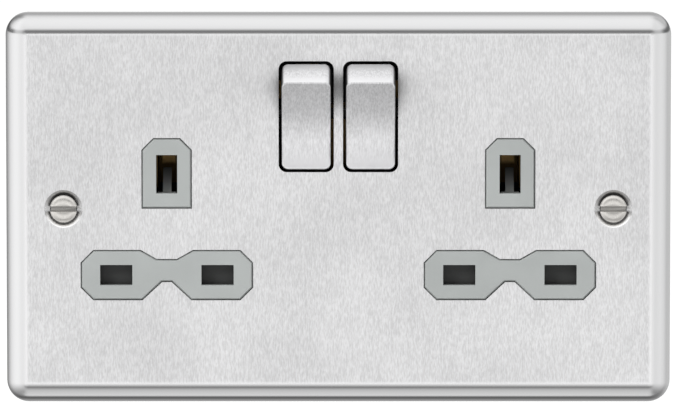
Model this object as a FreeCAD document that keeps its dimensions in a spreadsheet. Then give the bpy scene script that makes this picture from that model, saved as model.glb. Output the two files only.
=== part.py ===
import FreeCAD, Part
import os
import re
import Sketcher

# A flush twin wall socket outlet with two rocker switches, in millimetres.
# X runs to the right, Y into the wall and Z up. The origin is the middle of the plate, in the wall's plane.

V = FreeCAD.Vector

SIZES = {
    # pressed metal plate
    "plate_width": 146.0,
    "plate_height": 86.0,
    "plate_depth": 5.5,
    "plate_corner": 4.9,
    "rim_radius": 4.5,
    "sheet": 0.9,
    # fixing screws and their dimples
    "fixing_pitch": 120.6,
    "fixing_radius": 1.75,
    "fixing_length": 25.0,
    "fixing_hole": 1.95,
    "head_radius": 3.25,
    "head_band": 0.2,
    "head_dome": 0.65,
    "dome_share": 0.55,
    "slot_width": 1.15,
    "slot_depth": 1.2,
    "dimple_radius": 4.2,
    # outlet layout
    "outlet_offset": 37.64,
    "pin_row_drop": 14.55,
    "pin_pitch": 22.23,
    "earth_rise": 22.23,
    "earth_pin_height": 8.0,
    "live_aperture_width": 7.1,
    "live_aperture_height": 4.5,
    "earth_aperture_width": 4.64,
    "earth_aperture_height": 8.5,
    # grey inserts that stand through the plate
    "insert_proud": 0.1,
    "insert_gap": 0.27,
    "insert_edge": 0.25,
    "flange_thickness": 0.95,
    "flange_margin": 2.2,
    "row_half_width": 18.8,
    "row_half_height": 5.42,
    "row_chamfer": 2.7,
    "upper_waist_reach": 5.75,
    "upper_waist_flat": 2.2,
    "upper_waist_dip": 2.0,
    "lower_waist_reach": 5.4,
    "lower_waist_flat": 1.1,
    "lower_waist_dip": 4.0,
    "earth_half_width": 5.4,
    "earth_top": 7.83,
    "earth_bottom": 7.45,
    "earth_chamfer": 2.5,
    # general clearances
    "seat_gap": 0.05,
    "slide_gap": 0.1,
    "spring_gap": 0.2,
    # rocker switches
    "rocker_offset": 7.05,
    "rocker_drop": 14.87,
    "rocker_width": 10.9,
    "rocker_corner": 1.5,
    "cap_sheet": 0.6,
    "ridge_reach": 11.0,
    "ridge_height": 9.75,
    "facet_reach": 6.9,
    "facet_height": 12.9,
    "hollow_depth": 1.5,
    "cap_edge": 0.5,
    "web_lap": 0.2,
    "web_share": 0.645,
    "web_margin": 1.0,
    "pivot_depth": 9.05,
    "pivot_radius": 1.25,
    "pivot_bite": 0.75,
    "boss_radius": 3.2,
    "rocker_tilt": 10.0,
    "window_width": 12.1,
    "window_height": 24.4,
    "window_corner": 1.8,
    "rocker_room": 14.7,
    "side_room": 0.75,
    # plunger and its spring
    "tube_radius": 2.4,
    "tube_bore": 1.75,
    "tube_floor": 1.0,
    "plunger_radius": 1.65,
    "plunger_bore": 1.15,
    "plunger_start": 2.2,
    "nose_radius": 1.2,
    "nose_stop": 1.0,
    "nose_show": 2.8,
    "plunger_floor": 1.6,
    "plunger_wire": 0.3,
    "plunger_turns": 9,
    # moving contact and fulcrum
    "strip_thickness": 0.8,
    "contact_width": 5.0,
    "contact_arm": 9.6,
    "vee_angle": 12.0,
    "tip_radius": 1.5,
    "tip_thickness": 0.7,
    "tip_arm": 8.0,
    "tip_gap": 0.15,
    "bar_thickness": 1.0,
    "fulcrum_height": 3.0,
    # current-carrying strips and clips
    "plane_gap": 1.9,
    "strip_width": 4.5,
    "run_rise": 6.27,
    "run_height": 4.0,
    "pad_rise": 9.87,
    "jaw_gap": 4.4,
    "jaw_thickness": 0.8,
    "live_jaw_width": 7.0,
    "earth_jaw_height": 8.0,
    "jaw_mouth": 10.5,
    "rivet_radius": 1.0,
    "rivet_head": 1.6,
    "rivet_thickness": 0.6,
    "earth_bar_height": 4.0,
    "bar_margin": 0.9,
    "fork_inset": 0.9,
    "earth_drop_width": 4.0,
    "riser_width": 5.0,
    "riser_set": 2.6,
    "neutral_bar_share": 0.2342,
    # terminals
    "block_gap": 0.2,
    "rib_drop": 1.0,
    "gate_margin": 0.8,
    "terminal_pitch": 11.0,
    "terminal_width": 8.0,
    "terminal_depth": 9.0,
    "wire_radius": 2.4,
    "terminal_share": 0.6006,
    "wire_share": 0.85,
    "wire_inset": 5.3,
    "screw_radius": 2.0,
    "thread_gap": 0.02,
    "screw_head_radius": 2.75,
    "screw_head_height": 2.2,
    "screw_room": 0.9,
    # black front moulding
    "slab_side_inset": 0.8,
    "slab_over": 1.8,
    "slab_under": 0.8,
    "slab_thickness": 1.65,
    "slab_corner": 3.0,
    "cheek_depth": 8.4,
    "cheek_thickness": 1.7,
    "cheek_height": 14.0,
    # black rear moulding, deep enough for a 22.7 mm earth pin, its clip, the earth bar and the screw heads
    "case_end_room": 6.545,
    "case_margin": 7.8,
    "case_depth": 22.3,
    "case_wall": 1.6,
    "case_back": 1.8,
    "case_corner": 3.0,
    "rib_thickness": 2.4,
    "post_width": 4.0,
    "notch_end": 2.55,
    # assembly and bonding screws
    "corner_screw_side": 4.5,
    "corner_screw_inset": 4.2,
    "bond_screw_x": 20.0,
    "boss_outer": 2.4,
    "boss_bore": 1.27,
    "boss_end": 0.5,
    "tower_radius": 3.9,
    "bond_tower_radius": 3.4,
    "assembly_radius": 1.25,
    "assembly_hole": 1.7,
    "assembly_head_radius": 2.75,
    "assembly_head": 2.0,
    "screw_bite": 3.6,
    "head_pocket": 3.3,
    # shutters
    "shutter_thickness": 1.4,
    "shutter_overlap": 0.95,
    "shutter_side_overlap": 0.4,
    "shutter_top_overlap": 0.35,
    "shutter_travel": 5.0,
    "stem_width": 4.0,
    "tongue_width": 1.9,
    "tongue_clearance": 0.28,
    "tongue_share": 1.5,
    "rail_thickness": 0.8,
    "rail_lip": 0.9,
    "lip_depth": 0.7,
    "rail_over": 2.0,
    "rail_under": 1.0,
    "guide_height": 3.2,
    "shutter_spring_radius": 1.7,
    "ledge_room": 3.2,
    "turn_rise": 1.25,
    "shutter_wire": 0.35,
    "seat_tab": 1.45,
}

# Sizes that follow from those above
DERIVED = {
    "case_half_height": "plate_height / 2 - case_margin",
    "case_half_width": "outlet_offset + pin_pitch / 2 + case_end_room",
    "slab_half_width": "case_half_width - slab_side_inset",
    "slab_top": "case_half_height + slab_over",
    "slab_bottom": "case_half_height + slab_under",
    "corner_screw_x": "case_half_width - corner_screw_side",
    "corner_screw_z": "case_half_height - corner_screw_inset",
    "rocker_height": "case_half_height - rocker_drop",
    "facet_slope": "(facet_height - ridge_height) / (ridge_reach - facet_reach)",
    "facet_shift": "sqrt(1 + facet_slope ^ 2)",
    "hollow_radius": "(ridge_height ^ 2 + hollow_depth ^ 2) / (2 * hollow_depth)",
    "hollow_slope": "ridge_height / (hollow_radius - hollow_depth)",
    "hollow_shift": "sqrt(1 + hollow_slope ^ 2)",
    "reach_shift": "(hollow_shift + hollow_slope * facet_shift) / (1 + hollow_slope * facet_slope)",
    "ridge_shift": "facet_shift - facet_slope * reach_shift",
    "run_top": "rocker_height + run_rise",
    "pad_top": "rocker_height + pad_rise",
    "block_bottom": "-case_half_height + case_wall + block_gap",
    "room_below_pins": "-pin_row_drop - jaw_gap / 2 - block_bottom",
    "terminal_height": "room_below_pins * terminal_share",
    "block_top": "block_bottom + terminal_height",
    "neutral_bar_height": "room_below_pins * neutral_bar_share",
    "wire_depth": "terminal_height * wire_share",
    "plunger_reach": "apex_y - pivot_y - nose_stop",
    "tube_reach": "plunger_reach - nose_show",
    "pivot_y": "-plate_depth + pivot_depth",
    "head_seat": "case_depth - screw_room - screw_head_height",
    "earth_bar_front": "head_seat - seat_gap - strip_thickness",
    "strip_front": "earth_bar_front - plane_gap - strip_thickness",
    "fulcrum_y": "strip_front - seat_gap - bar_thickness",
    "apex_y": "fulcrum_y - seat_gap",
}

doc = FreeCAD.newDocument("TwinSocket")
sheet = doc.addObject("Spreadsheet::Sheet", "Sizes")
for row, (alias, number) in enumerate(SIZES.items(), start=1):
    sheet.set(f"A{row}", alias)
    sheet.set(f"B{row}", str(number))
    sheet.setAlias(f"B{row}", alias)
doc.recompute()

nodes = {}


def bind(text):
    """The expression with each derived size written out and each size's name pointing at its cell."""

    def spell(word):
        name = word.group()
        if name in DERIVED:
            return f"({bind(DERIVED[name])})"
        return f"Sizes.{name}" if name in SIZES else name

    return re.sub(r"[a-z][a-z_]+", spell, text)


def value(text):
    """The expression's present value."""
    return float(sheet.evalExpression(bind(text)))


def finish(name, piece):
    """Names a finished piece of the socket."""
    piece.Label = name
    nodes[name] = piece
    return piece


def place(piece, at):
    """Binds the piece's position to three expressions."""
    for letter, text in zip("xyz", at):
        piece.setExpression(f"Placement.Base.{letter}", bind(text))


def block(name, x, y, z):
    """A box between two places along each axis."""
    piece = doc.addObject("Part::Box", name)
    for side, span in (("Length", x), ("Width", y), ("Height", z)):
        piece.setExpression(side, bind(f"({span[1]}) - ({span[0]})"))
    place(piece, (x[0], y[0], z[0]))
    return piece


AXES = {"x": V(1, 0, 0), "y": V(0, 1, 0), "z": V(0, 0, 1)}


def rod(name, axis, radius, length, at):
    """A round bar that starts at a place and runs along an axis."""
    piece = doc.addObject("Part::Cylinder", name)
    piece.Placement = FreeCAD.Placement(V(), FreeCAD.Rotation(AXES["z"], AXES[axis]))
    piece.setExpression("Radius", bind(radius))
    piece.setExpression("Height", bind(length))
    place(piece, at)
    return piece


def taper(name, axis, first, last, length, at):
    """A cone frustum that starts at a place and runs along an axis."""
    piece = doc.addObject("Part::Cone", name)
    piece.Placement = FreeCAD.Placement(V(), FreeCAD.Rotation(AXES["z"], AXES[axis]))
    piece.setExpression("Radius1", bind(first))
    piece.setExpression("Radius2", bind(last))
    piece.setExpression("Height", bind(length))
    place(piece, at)
    return piece


def ball(name, radius, at):
    """A sphere about a place."""
    piece = doc.addObject("Part::Sphere", name)
    piece.setExpression("Radius", bind(radius))
    place(piece, at)
    return piece


def join(name, pieces):
    """One solid, or one set of solids, out of several."""
    if len(pieces) == 1:
        return pieces[0]
    joined = doc.addObject("Part::MultiFuse", name)
    joined.Shapes = pieces
    joined.Refine = True
    return joined


def cut(name, base, tools):
    """The base without the tools' space."""
    left = doc.addObject("Part::Cut", name)
    left.Base = base
    left.Tool = join(f"{name}Tools", tools)
    left.Refine = True
    return left


def trace(sketch, points, bow=None):
    """Draws a closed outline whose corners are bound to expressions. The side named by bow is an arc."""
    spots = [V(value(across), value(along), 0) for across, along in points]
    count = len(points)
    for n, spot in enumerate(spots):
        after = spots[(n + 1) % count]
        if bow and bow[0] == n:
            middle = V(value(bow[1]), (spot.y + after.y) / 2, 0)
            sketch.addGeometry(Part.Arc(spot, middle, after))
        else:
            sketch.addGeometry(Part.LineSegment(spot, after))
    arc_turns = bool(bow) and sketch.getPoint(bow[0], 1).distanceToPoint(spots[bow[0]]) > 1e-6

    def end(n, first):
        """The sketch's own number for one end of a side."""
        if bow and n == bow[0] and arc_turns:
            return 2 if first else 1
        return 1 if first else 2

    for n in range(count):
        after = (n + 1) % count
        sketch.addConstraint(Sketcher.Constraint("Coincident", n, end(n, False), after, end(after, True)))
    for n, (across, along) in enumerate(points):
        corner = (n, end(n, True))
        for kind, text, now in (("DistanceX", across, spots[n].x), ("DistanceY", along, spots[n].y)):
            index = sketch.addConstraint(Sketcher.Constraint(kind, -1, 1, *corner, now))
            sketch.setExpression(f"Constraints[{index}]", bind(text))
    if bow:
        centre = sketch.Geometry[bow[0]].Center.x
        index = sketch.addConstraint(Sketcher.Constraint("DistanceX", -1, 1, bow[0], 3, centre))
        sketch.setExpression(f"Constraints[{index}]", bind(bow[2]))


def prism(name, plane, points, span, bow=None):
    """A body padded from an outline on its own origin plane, between two places along the third axis."""
    body = doc.addObject("PartDesign::Body", name)
    sketch = body.newObject("Sketcher::SketchObject", f"{name}Outline")
    support = [piece for piece in body.Origin.OriginFeatures if piece.Role == plane][0]
    sketch.AttachmentSupport = [(support, "")]
    sketch.MapMode = "FlatFace"
    start = f"-({span[1]})" if plane == "XZ_Plane" else span[0]
    sketch.setExpression("AttachmentOffset.Base.z", bind(start))
    trace(sketch, points, bow)
    pad = body.newObject("PartDesign::Pad", f"{name}Pad")
    pad.Profile = sketch
    pad.setExpression("Length", bind(f"({span[1]}) - ({span[0]})"))
    sketch.Visibility = False
    return body


def rectangle(across, along):
    """The corners of a rectangle between two places each way."""
    return [(across[0], along[0]), (across[1], along[0]), (across[1], along[1]), (across[0], along[1])]


def soften(body, radius, chosen):
    """Rounds the edges of a body that pass the test."""
    doc.recompute()
    base = body.Tip
    names = [f"Edge{n}" for n, edge in enumerate(base.Shape.Edges, start=1) if chosen(edge)]
    rounding = body.newObject("PartDesign::Fillet", f"{body.Name}Round")
    rounding.Base = (base, names)
    rounding.setExpression("Radius", bind(radius))
    doc.recompute()
    return body


def bevel(body, size, chosen):
    """Chamfers the edges of a body that pass the test."""
    doc.recompute()
    base = body.Tip
    names = [f"Edge{n}" for n, edge in enumerate(base.Shape.Edges, start=1) if chosen(edge)]
    slope = body.newObject("PartDesign::Chamfer", f"{body.Name}Bevel")
    slope.Base = (base, names)
    slope.setExpression("Size", bind(size))
    doc.recompute()
    return body


def along_y(edge):
    """Whether a straight edge runs front to back."""
    ends = [corner.Point for corner in edge.Vertexes]
    return len(ends) == 2 and abs(ends[0].x - ends[1].x) < 1e-6 and abs(ends[0].z - ends[1].z) < 1e-6


def up_a_facet(edge):
    """Whether an edge climbs from a rocker's back to one of its ridges."""
    ends = [corner.Point for corner in edge.Vertexes]
    return len(ends) == 2 and abs(ends[0].x - ends[1].x) < 1e-6 and abs(ends[0].y - ends[1].y) > 1e-3


def at_depth(text):
    """A test for edges that lie at one depth."""
    depth = value(text)
    return lambda edge: abs(edge.BoundBox.YMin - depth) < 1e-6 and abs(edge.BoundBox.YMax - depth) < 1e-6


def ahead_of(text):
    """A test for edges that lie wholly in front of a depth."""
    depth = value(text)
    return lambda edge: edge.BoundBox.YMax < depth + 1e-6


def spring(name, radius, wire, length, turns):
    """A coil along Z as a shape: its first and last half turns lie flat, and the others rise evenly."""
    halves = 2 * turns
    rise = (length - wire) / (halves - 2)
    height = wire / 2
    bends = []
    for n in range(halves):
        side = 1 if n % 2 == 0 else -1
        lift = rise if 0 < n < halves - 1 else 0
        near, far = V(side * radius, 0, height), V(-side * radius, 0, height + lift)
        section = Part.Face(Part.Wire(Part.Circle(near, AXES["y"], wire / 2).toShape()))
        bends.append(section.revolve((near + far) / 2, (far - near).cross(V(0, -side, 0)), 180))
        height += lift
    piece = doc.addObject("Part::Feature", name)
    piece.Shape = bends[0].multiFuse(bends[1:]).Solids[0]
    return piece


# How far a cutting tool runs past the surface that it cuts
PAST = "1"

# Places that several pieces share
FACE = "-plate_depth"
SHEET_BACK = "-plate_depth + sheet"
FLANGE_FRONT = "-plate_depth + sheet + seat_gap"
FLANGE_BACK = f"{FLANGE_FRONT} + flange_thickness"
SLAB_FRONT = f"{FLANGE_BACK} + seat_gap"
SLAB_BACK = f"{SLAB_FRONT} + slab_thickness"
SHUTTER_FRONT = f"{SLAB_BACK} + slide_gap"
SHUTTER_BACK = f"{SHUTTER_FRONT} + shutter_thickness"
PIVOT_Y = "pivot_y"
APEX_Y = "apex_y"
FULCRUM_Y = "fulcrum_y"
STRIP_FRONT = "strip_front"
STRIP_BACK = "strip_front + strip_thickness"
RIVET_END = f"{STRIP_BACK} + seat_gap + rivet_thickness"
EARTH_BAR_FRONT = "earth_bar_front"
EARTH_BAR_BACK = "earth_bar_front + strip_thickness"
EARTH_BACK = "earth_bar_front - seat_gap - jaw_thickness"
CASE_INNER = "case_depth - case_back"
BLOCK_TOP = "block_top"
BLOCK_BOTTOM = "block_bottom"
BLOCK_BACK = "earth_bar_front - seat_gap"
BLOCK_FRONT = f"{BLOCK_BACK} - terminal_depth"
WIRE_Y = f"{BLOCK_BACK} - wire_inset"
SCREW_Z = "block_bottom + terminal_height / 2"
PIN_Z = "-pin_row_drop"
EARTH_Z = "-pin_row_drop + earth_rise"
TIP_ANGLE = "(vee_angle - rocker_tilt)"
TIP_Z = f"rocker_height + tip_arm * cos({TIP_ANGLE})"

SIDES = {"left": "-", "right": ""}


def outlet_x(side, text="0"):
    """A place to the right of one outlet's middle."""
    return f"({SIDES[side]}outlet_offset + ({text}))"


def rocker_x(side, text="0"):
    """A place to the right of one rocker's middle."""
    return f"({SIDES[side]}rocker_offset + ({text}))"


LINE = "pin_pitch / 2"
NEUTRAL = "-pin_pitch / 2"
TERMINAL_STEPS = {"earth_left": -1, "line": 0, "neutral": 1, "earth_right": 2}
TERMINALS = {name: f"({step} * terminal_pitch)" for name, step in TERMINAL_STEPS.items()}
CORNERS = [(f"{sign}corner_screw_x", f"{end}corner_screw_z") for sign in ("-", "") for end in ("", "-")]
BONDS = [(f"{sign}bond_screw_x", EARTH_Z) for sign in ("-", "")]


def mitre(dip, run):
    """How far a corner moves along an outline drawn in by one, where the outline turns onto a slope."""
    return f"tan(atan(({dip}) / ({run})) / 2)"


def row_outline(side, gap):
    """The outline round the two lower apertures of an outlet, drawn in by the gap."""
    half = f"row_half_width - ({gap})"
    tall = f"row_half_height - ({gap})"
    chamfer = f"row_chamfer - {mitre(1, 1)} * ({gap})"
    upper = mitre("upper_waist_dip", "upper_waist_reach - upper_waist_flat")
    lower = mitre("lower_waist_dip", "lower_waist_reach - lower_waist_flat")
    corners = [
        (half, f"-(row_half_height - {chamfer})"),
        (half, f"row_half_height - {chamfer}"),
        (f"row_half_width - {chamfer}", tall),
        (f"upper_waist_reach + {upper} * ({gap})", tall),
        (f"upper_waist_flat + {upper} * ({gap})", f"{tall} - upper_waist_dip"),
    ]
    low = [
        (f"lower_waist_flat + {lower} * ({gap})", f"-({tall} - lower_waist_dip)"),
        (f"lower_waist_reach + {lower} * ({gap})", f"-({tall})"),
        (f"row_half_width - {chamfer}", f"-({tall})"),
    ]
    right = low + corners
    left = [(f"-({x})", z) for x, z in reversed(right)]
    return [(outlet_x(side, x), f"{PIN_Z} + ({z})") for x, z in right + left]


def earth_outline(side, gap):
    """The outline round an outlet's earth aperture, drawn in by the gap."""
    half = f"earth_half_width - ({gap})"
    chamfer = f"earth_chamfer - {mitre(1, 1)} * ({gap})"
    right = [
        (half, f"-(earth_bottom - ({gap}))"),
        (half, f"earth_top - {chamfer}"),
        (f"earth_half_width - {chamfer}", f"earth_top - ({gap})"),
    ]
    left = [(f"-({x})", z) for x, z in reversed(right)]
    return [(outlet_x(side, x), f"{EARTH_Z} + ({z})") for x, z in right + left]


def islands(name, side, gap, span):
    """The two raised areas of an insert, or the cuts that take them."""
    return [
        prism(f"{name}Row", "XZ_Plane", row_outline(side, gap), span),
        prism(f"{name}Earth", "XZ_Plane", earth_outline(side, gap), span),
    ]


def apertures(name, side, extra, span):
    """The spaces for the three pins of an outlet, each widened by extra."""
    wide = f"(live_aperture_width / 2 + {extra})"
    tall = f"(live_aperture_height / 2 + {extra})"
    spaces = []
    for label, middle in (("Line", LINE), ("Neutral", NEUTRAL)):
        x = (outlet_x(side, f"{middle} - {wide}"), outlet_x(side, f"{middle} + {wide}"))
        spaces.append(block(f"{name}{label}", x, span, (f"{PIN_Z} - {tall}", f"{PIN_Z} + {tall}")))
    wide = f"(earth_aperture_width / 2 + {extra})"
    tall = f"(earth_aperture_height / 2 + {extra})"
    x = (outlet_x(side, f"-{wide}"), outlet_x(side, wide))
    spaces.append(block(f"{name}Earth", x, span, (f"{EARTH_Z} - {tall}", f"{EARTH_Z} + {tall}")))
    return spaces


def make_faceplate():
    """The pressed plate: a shallow pan with rounded rim, dimples and cut-outs."""
    wide, tall = "plate_width / 2", "plate_height / 2"
    outer = prism("PlateOuter", "XZ_Plane", rectangle((f"-{wide}", wide), (f"-{tall}", tall)), (FACE, "0"))
    soften(outer, "plate_corner", along_y)
    soften(outer, "rim_radius", at_depth(FACE))
    wide, tall = "(plate_width / 2 - sheet)", "(plate_height / 2 - sheet)"
    hollow = rectangle((f"-{wide}", wide), (f"-{tall}", tall))
    inner = prism("PlateInner", "XZ_Plane", hollow, (SHEET_BACK, "sheet"))
    soften(inner, "plate_corner - sheet", along_y)
    soften(inner, "rim_radius - sheet", at_depth(SHEET_BACK))
    pan = cut("PlatePan", outer, [inner])
    dimple = "(dimple_radius - fixing_hole)"
    added, taken = [pan], []
    for side, sign in SIDES.items():
        x = f"{sign}fixing_pitch / 2"
        wide, narrow = "dimple_radius + sqrt(2) * sheet", "fixing_hole + sqrt(2) * sheet"
        added.append(taper(f"Dimple_{side}", "y", wide, narrow, dimple, (x, FACE, "0")))
        taken.append(
            taper(
                f"Countersink_{side}",
                "y",
                "dimple_radius + sheet",
                "fixing_hole",
                f"{dimple} + sheet",
                (x, f"{FACE} - sheet", "0"),
            )
        )
        taken.append(rod(f"FixingHole_{side}", "y", "fixing_hole", "plate_depth", (x, FACE, "0")))
        taken += islands(f"PlateIsland_{side}", side, "-insert_gap / 2", (f"{FACE} - sheet", "0"))
        window = rectangle(
            (rocker_x(side, "-window_width / 2"), rocker_x(side, "window_width / 2")),
            ("rocker_height - window_height / 2", "rocker_height + window_height / 2"),
        )
        opening = prism(f"Window_{side}", "XZ_Plane", window, (f"{FACE} - sheet", "0"))
        taken.append(soften(opening, "window_corner", along_y))
    finish("faceplate", cut("Faceplate", join("PlateWithDimples", added), taken))


def make_plate_bosses():
    """Threaded bosses welded on the plate's back."""
    length = f"boss_end - ({SHEET_BACK})"
    bosses, threads = [], []
    for n, (x, z) in enumerate(CORNERS + BONDS):
        bosses.append(rod(f"Boss{n}", "y", "boss_outer", length, (x, SHEET_BACK, z)))
        threads.append(rod(f"BossThread{n}", "y", "boss_bore", length, (x, f"{SHEET_BACK} + sheet", z)))
    finish("plate_bosses", cut("PlateBosses", join("BossBars", bosses), threads))


def make_fixing_screws():
    """Raised countersunk screws that hold the plate to its wall box."""
    seat = f"{FACE} + dimple_radius - head_radius - seat_gap"
    for side, sign in SIDES.items():
        x = f"{sign}fixing_pitch / 2"
        slope = "head_radius - fixing_radius"
        cone = taper(f"ScrewCone_{side}", "y", "head_radius", "fixing_radius", slope, (x, seat, "0"))
        band = rod(f"ScrewBand_{side}", "y", "head_radius", "head_band", (x, f"{seat} - head_band", "0"))
        shank = rod(f"ScrewShank_{side}", "y", "fixing_radius", "fixing_length", (x, seat, "0"))
        top = f"{seat} - head_band - head_dome"
        crown = "head_radius * dome_share"
        dome = taper(f"ScrewDome_{side}", "y", crown, "head_radius", "head_dome", (x, top, "0"))
        reach = "2 * head_radius"
        slot = block(
            f"ScrewSlot_{side}",
            (f"{x} - {reach}", f"{x} + {reach}"),
            (f"{top} - {PAST}", f"{top} + slot_depth"),
            ("-slot_width / 2", "slot_width / 2"),
        )
        screw = join(f"ScrewBody_{side}", [shank, cone, band, dome])
        finish(f"fixing_screw_{side}", cut(f"FixingScrew_{side}", screw, [slot]))


def make_inserts():
    """The light grey mouldings with the pin apertures, one behind each outlet."""
    front = f"{FACE} - insert_proud"
    for side in SIDES:
        x = "(row_half_width + flange_margin)"
        low = block(
            f"FlangeLow_{side}",
            (outlet_x(side, f"-{x}"), outlet_x(side, x)),
            (FLANGE_FRONT, FLANGE_BACK),
            (f"{PIN_Z} - row_half_height - flange_margin", f"{PIN_Z} + row_half_height + flange_margin"),
        )
        x = "(earth_half_width + flange_margin)"
        high = block(
            f"FlangeHigh_{side}",
            (outlet_x(side, f"-{x}"), outlet_x(side, x)),
            (FLANGE_FRONT, FLANGE_BACK),
            (PIN_Z, f"{EARTH_Z} + earth_top + flange_margin"),
        )
        raised = islands(f"Island_{side}", side, "insert_gap / 2", (front, FLANGE_BACK))
        for body in raised:
            bevel(body, "insert_edge", at_depth(front))
        holes = apertures(f"Aperture_{side}", side, "0", (f"{front} - {PAST}", "0"))
        for n, (x, z) in enumerate(CORNERS):
            at = (x, SHEET_BACK, z)
            holes.append(rod(f"InsertBoss{n}_{side}", "y", "boss_outer + slide_gap", "plate_depth", at))
        solid = join(f"InsertBody_{side}", [low, high] + raised)
        finish(f"insert_{side}", cut(f"Insert_{side}", solid, holes))


def shutter_span(side):
    """How far an outlet's shutter reaches to each side."""
    half = "(pin_pitch / 2 + live_aperture_width / 2 + shutter_side_overlap)"
    return outlet_x(side, f"-{half}"), outlet_x(side, half)


SHUTTER_LOW = f"{PIN_Z} - live_aperture_height / 2 - shutter_overlap"
SHUTTER_TOP = f"{PIN_Z} + live_aperture_height / 2 + shutter_top_overlap"
SEAT_LOW = f"{SHUTTER_LOW} - seat_tab"
SPRING_LOW = "-case_half_height + case_wall + rail_thickness + ledge_room"
SPRING_LENGTH = f"{SEAT_LOW} - ({SPRING_LOW}) - 2 * spring_gap"
SPRING_Y = f"{SHUTTER_FRONT} + shutter_spring_radius + shutter_wire"
TONGUE_LOW = f"{EARTH_Z} - earth_pin_height / 2 - tongue_clearance"


def make_shutters():
    """A sliding guard per outlet: a bar behind the lower apertures, with a stem up to a sloped tongue."""
    for side in SIDES:
        depth = (SHUTTER_FRONT, SHUTTER_BACK)
        bar = block(f"ShutterBar_{side}", shutter_span(side), depth, (SHUTTER_LOW, SHUTTER_TOP))
        stem = block(
            f"ShutterStem_{side}",
            (outlet_x(side, "-stem_width / 2"), outlet_x(side, "stem_width / 2")),
            depth,
            (PIN_Z, TONGUE_LOW),
        )
        deep = f"{SHUTTER_FRONT} + shutter_travel"
        top = f"{TONGUE_LOW} + shutter_travel"
        slope = [
            (SHUTTER_FRONT, f"{TONGUE_LOW} - shutter_thickness"),
            (SHUTTER_BACK, f"{TONGUE_LOW} - shutter_thickness"),
            (deep, f"{top} - tongue_share * shutter_thickness"),
            (deep, top),
            (SHUTTER_FRONT, TONGUE_LOW),
        ]
        tongue = prism(
            f"ShutterTongue_{side}",
            "YZ_Plane",
            slope,
            (outlet_x(side, "-tongue_width / 2"), outlet_x(side, "tongue_width / 2")),
        )
        half = "(shutter_spring_radius + shutter_wire)"
        seat = block(
            f"ShutterSeat_{side}",
            (outlet_x(side, f"-{half}"), outlet_x(side, half)),
            (SHUTTER_FRONT, f"{SPRING_Y} + {half}"),
            (SEAT_LOW, PIN_Z),
        )
        finish(f"shutter_{side}", join(f"Shutter_{side}", [bar, stem, tongue, seat]))
        length = value(SPRING_LENGTH)
        turns = int(length / value("turn_rise"))
        coil = spring(
            f"ShutterSpring_{side}", value("shutter_spring_radius"), value("shutter_wire"), length, turns
        )
        coil.Placement = FreeCAD.Placement(
            V(value(outlet_x(side)), value(SPRING_Y), value(f"{SPRING_LOW} + spring_gap")), FreeCAD.Rotation()
        )
        finish(f"shutter_spring_{side}", coil)


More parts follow.
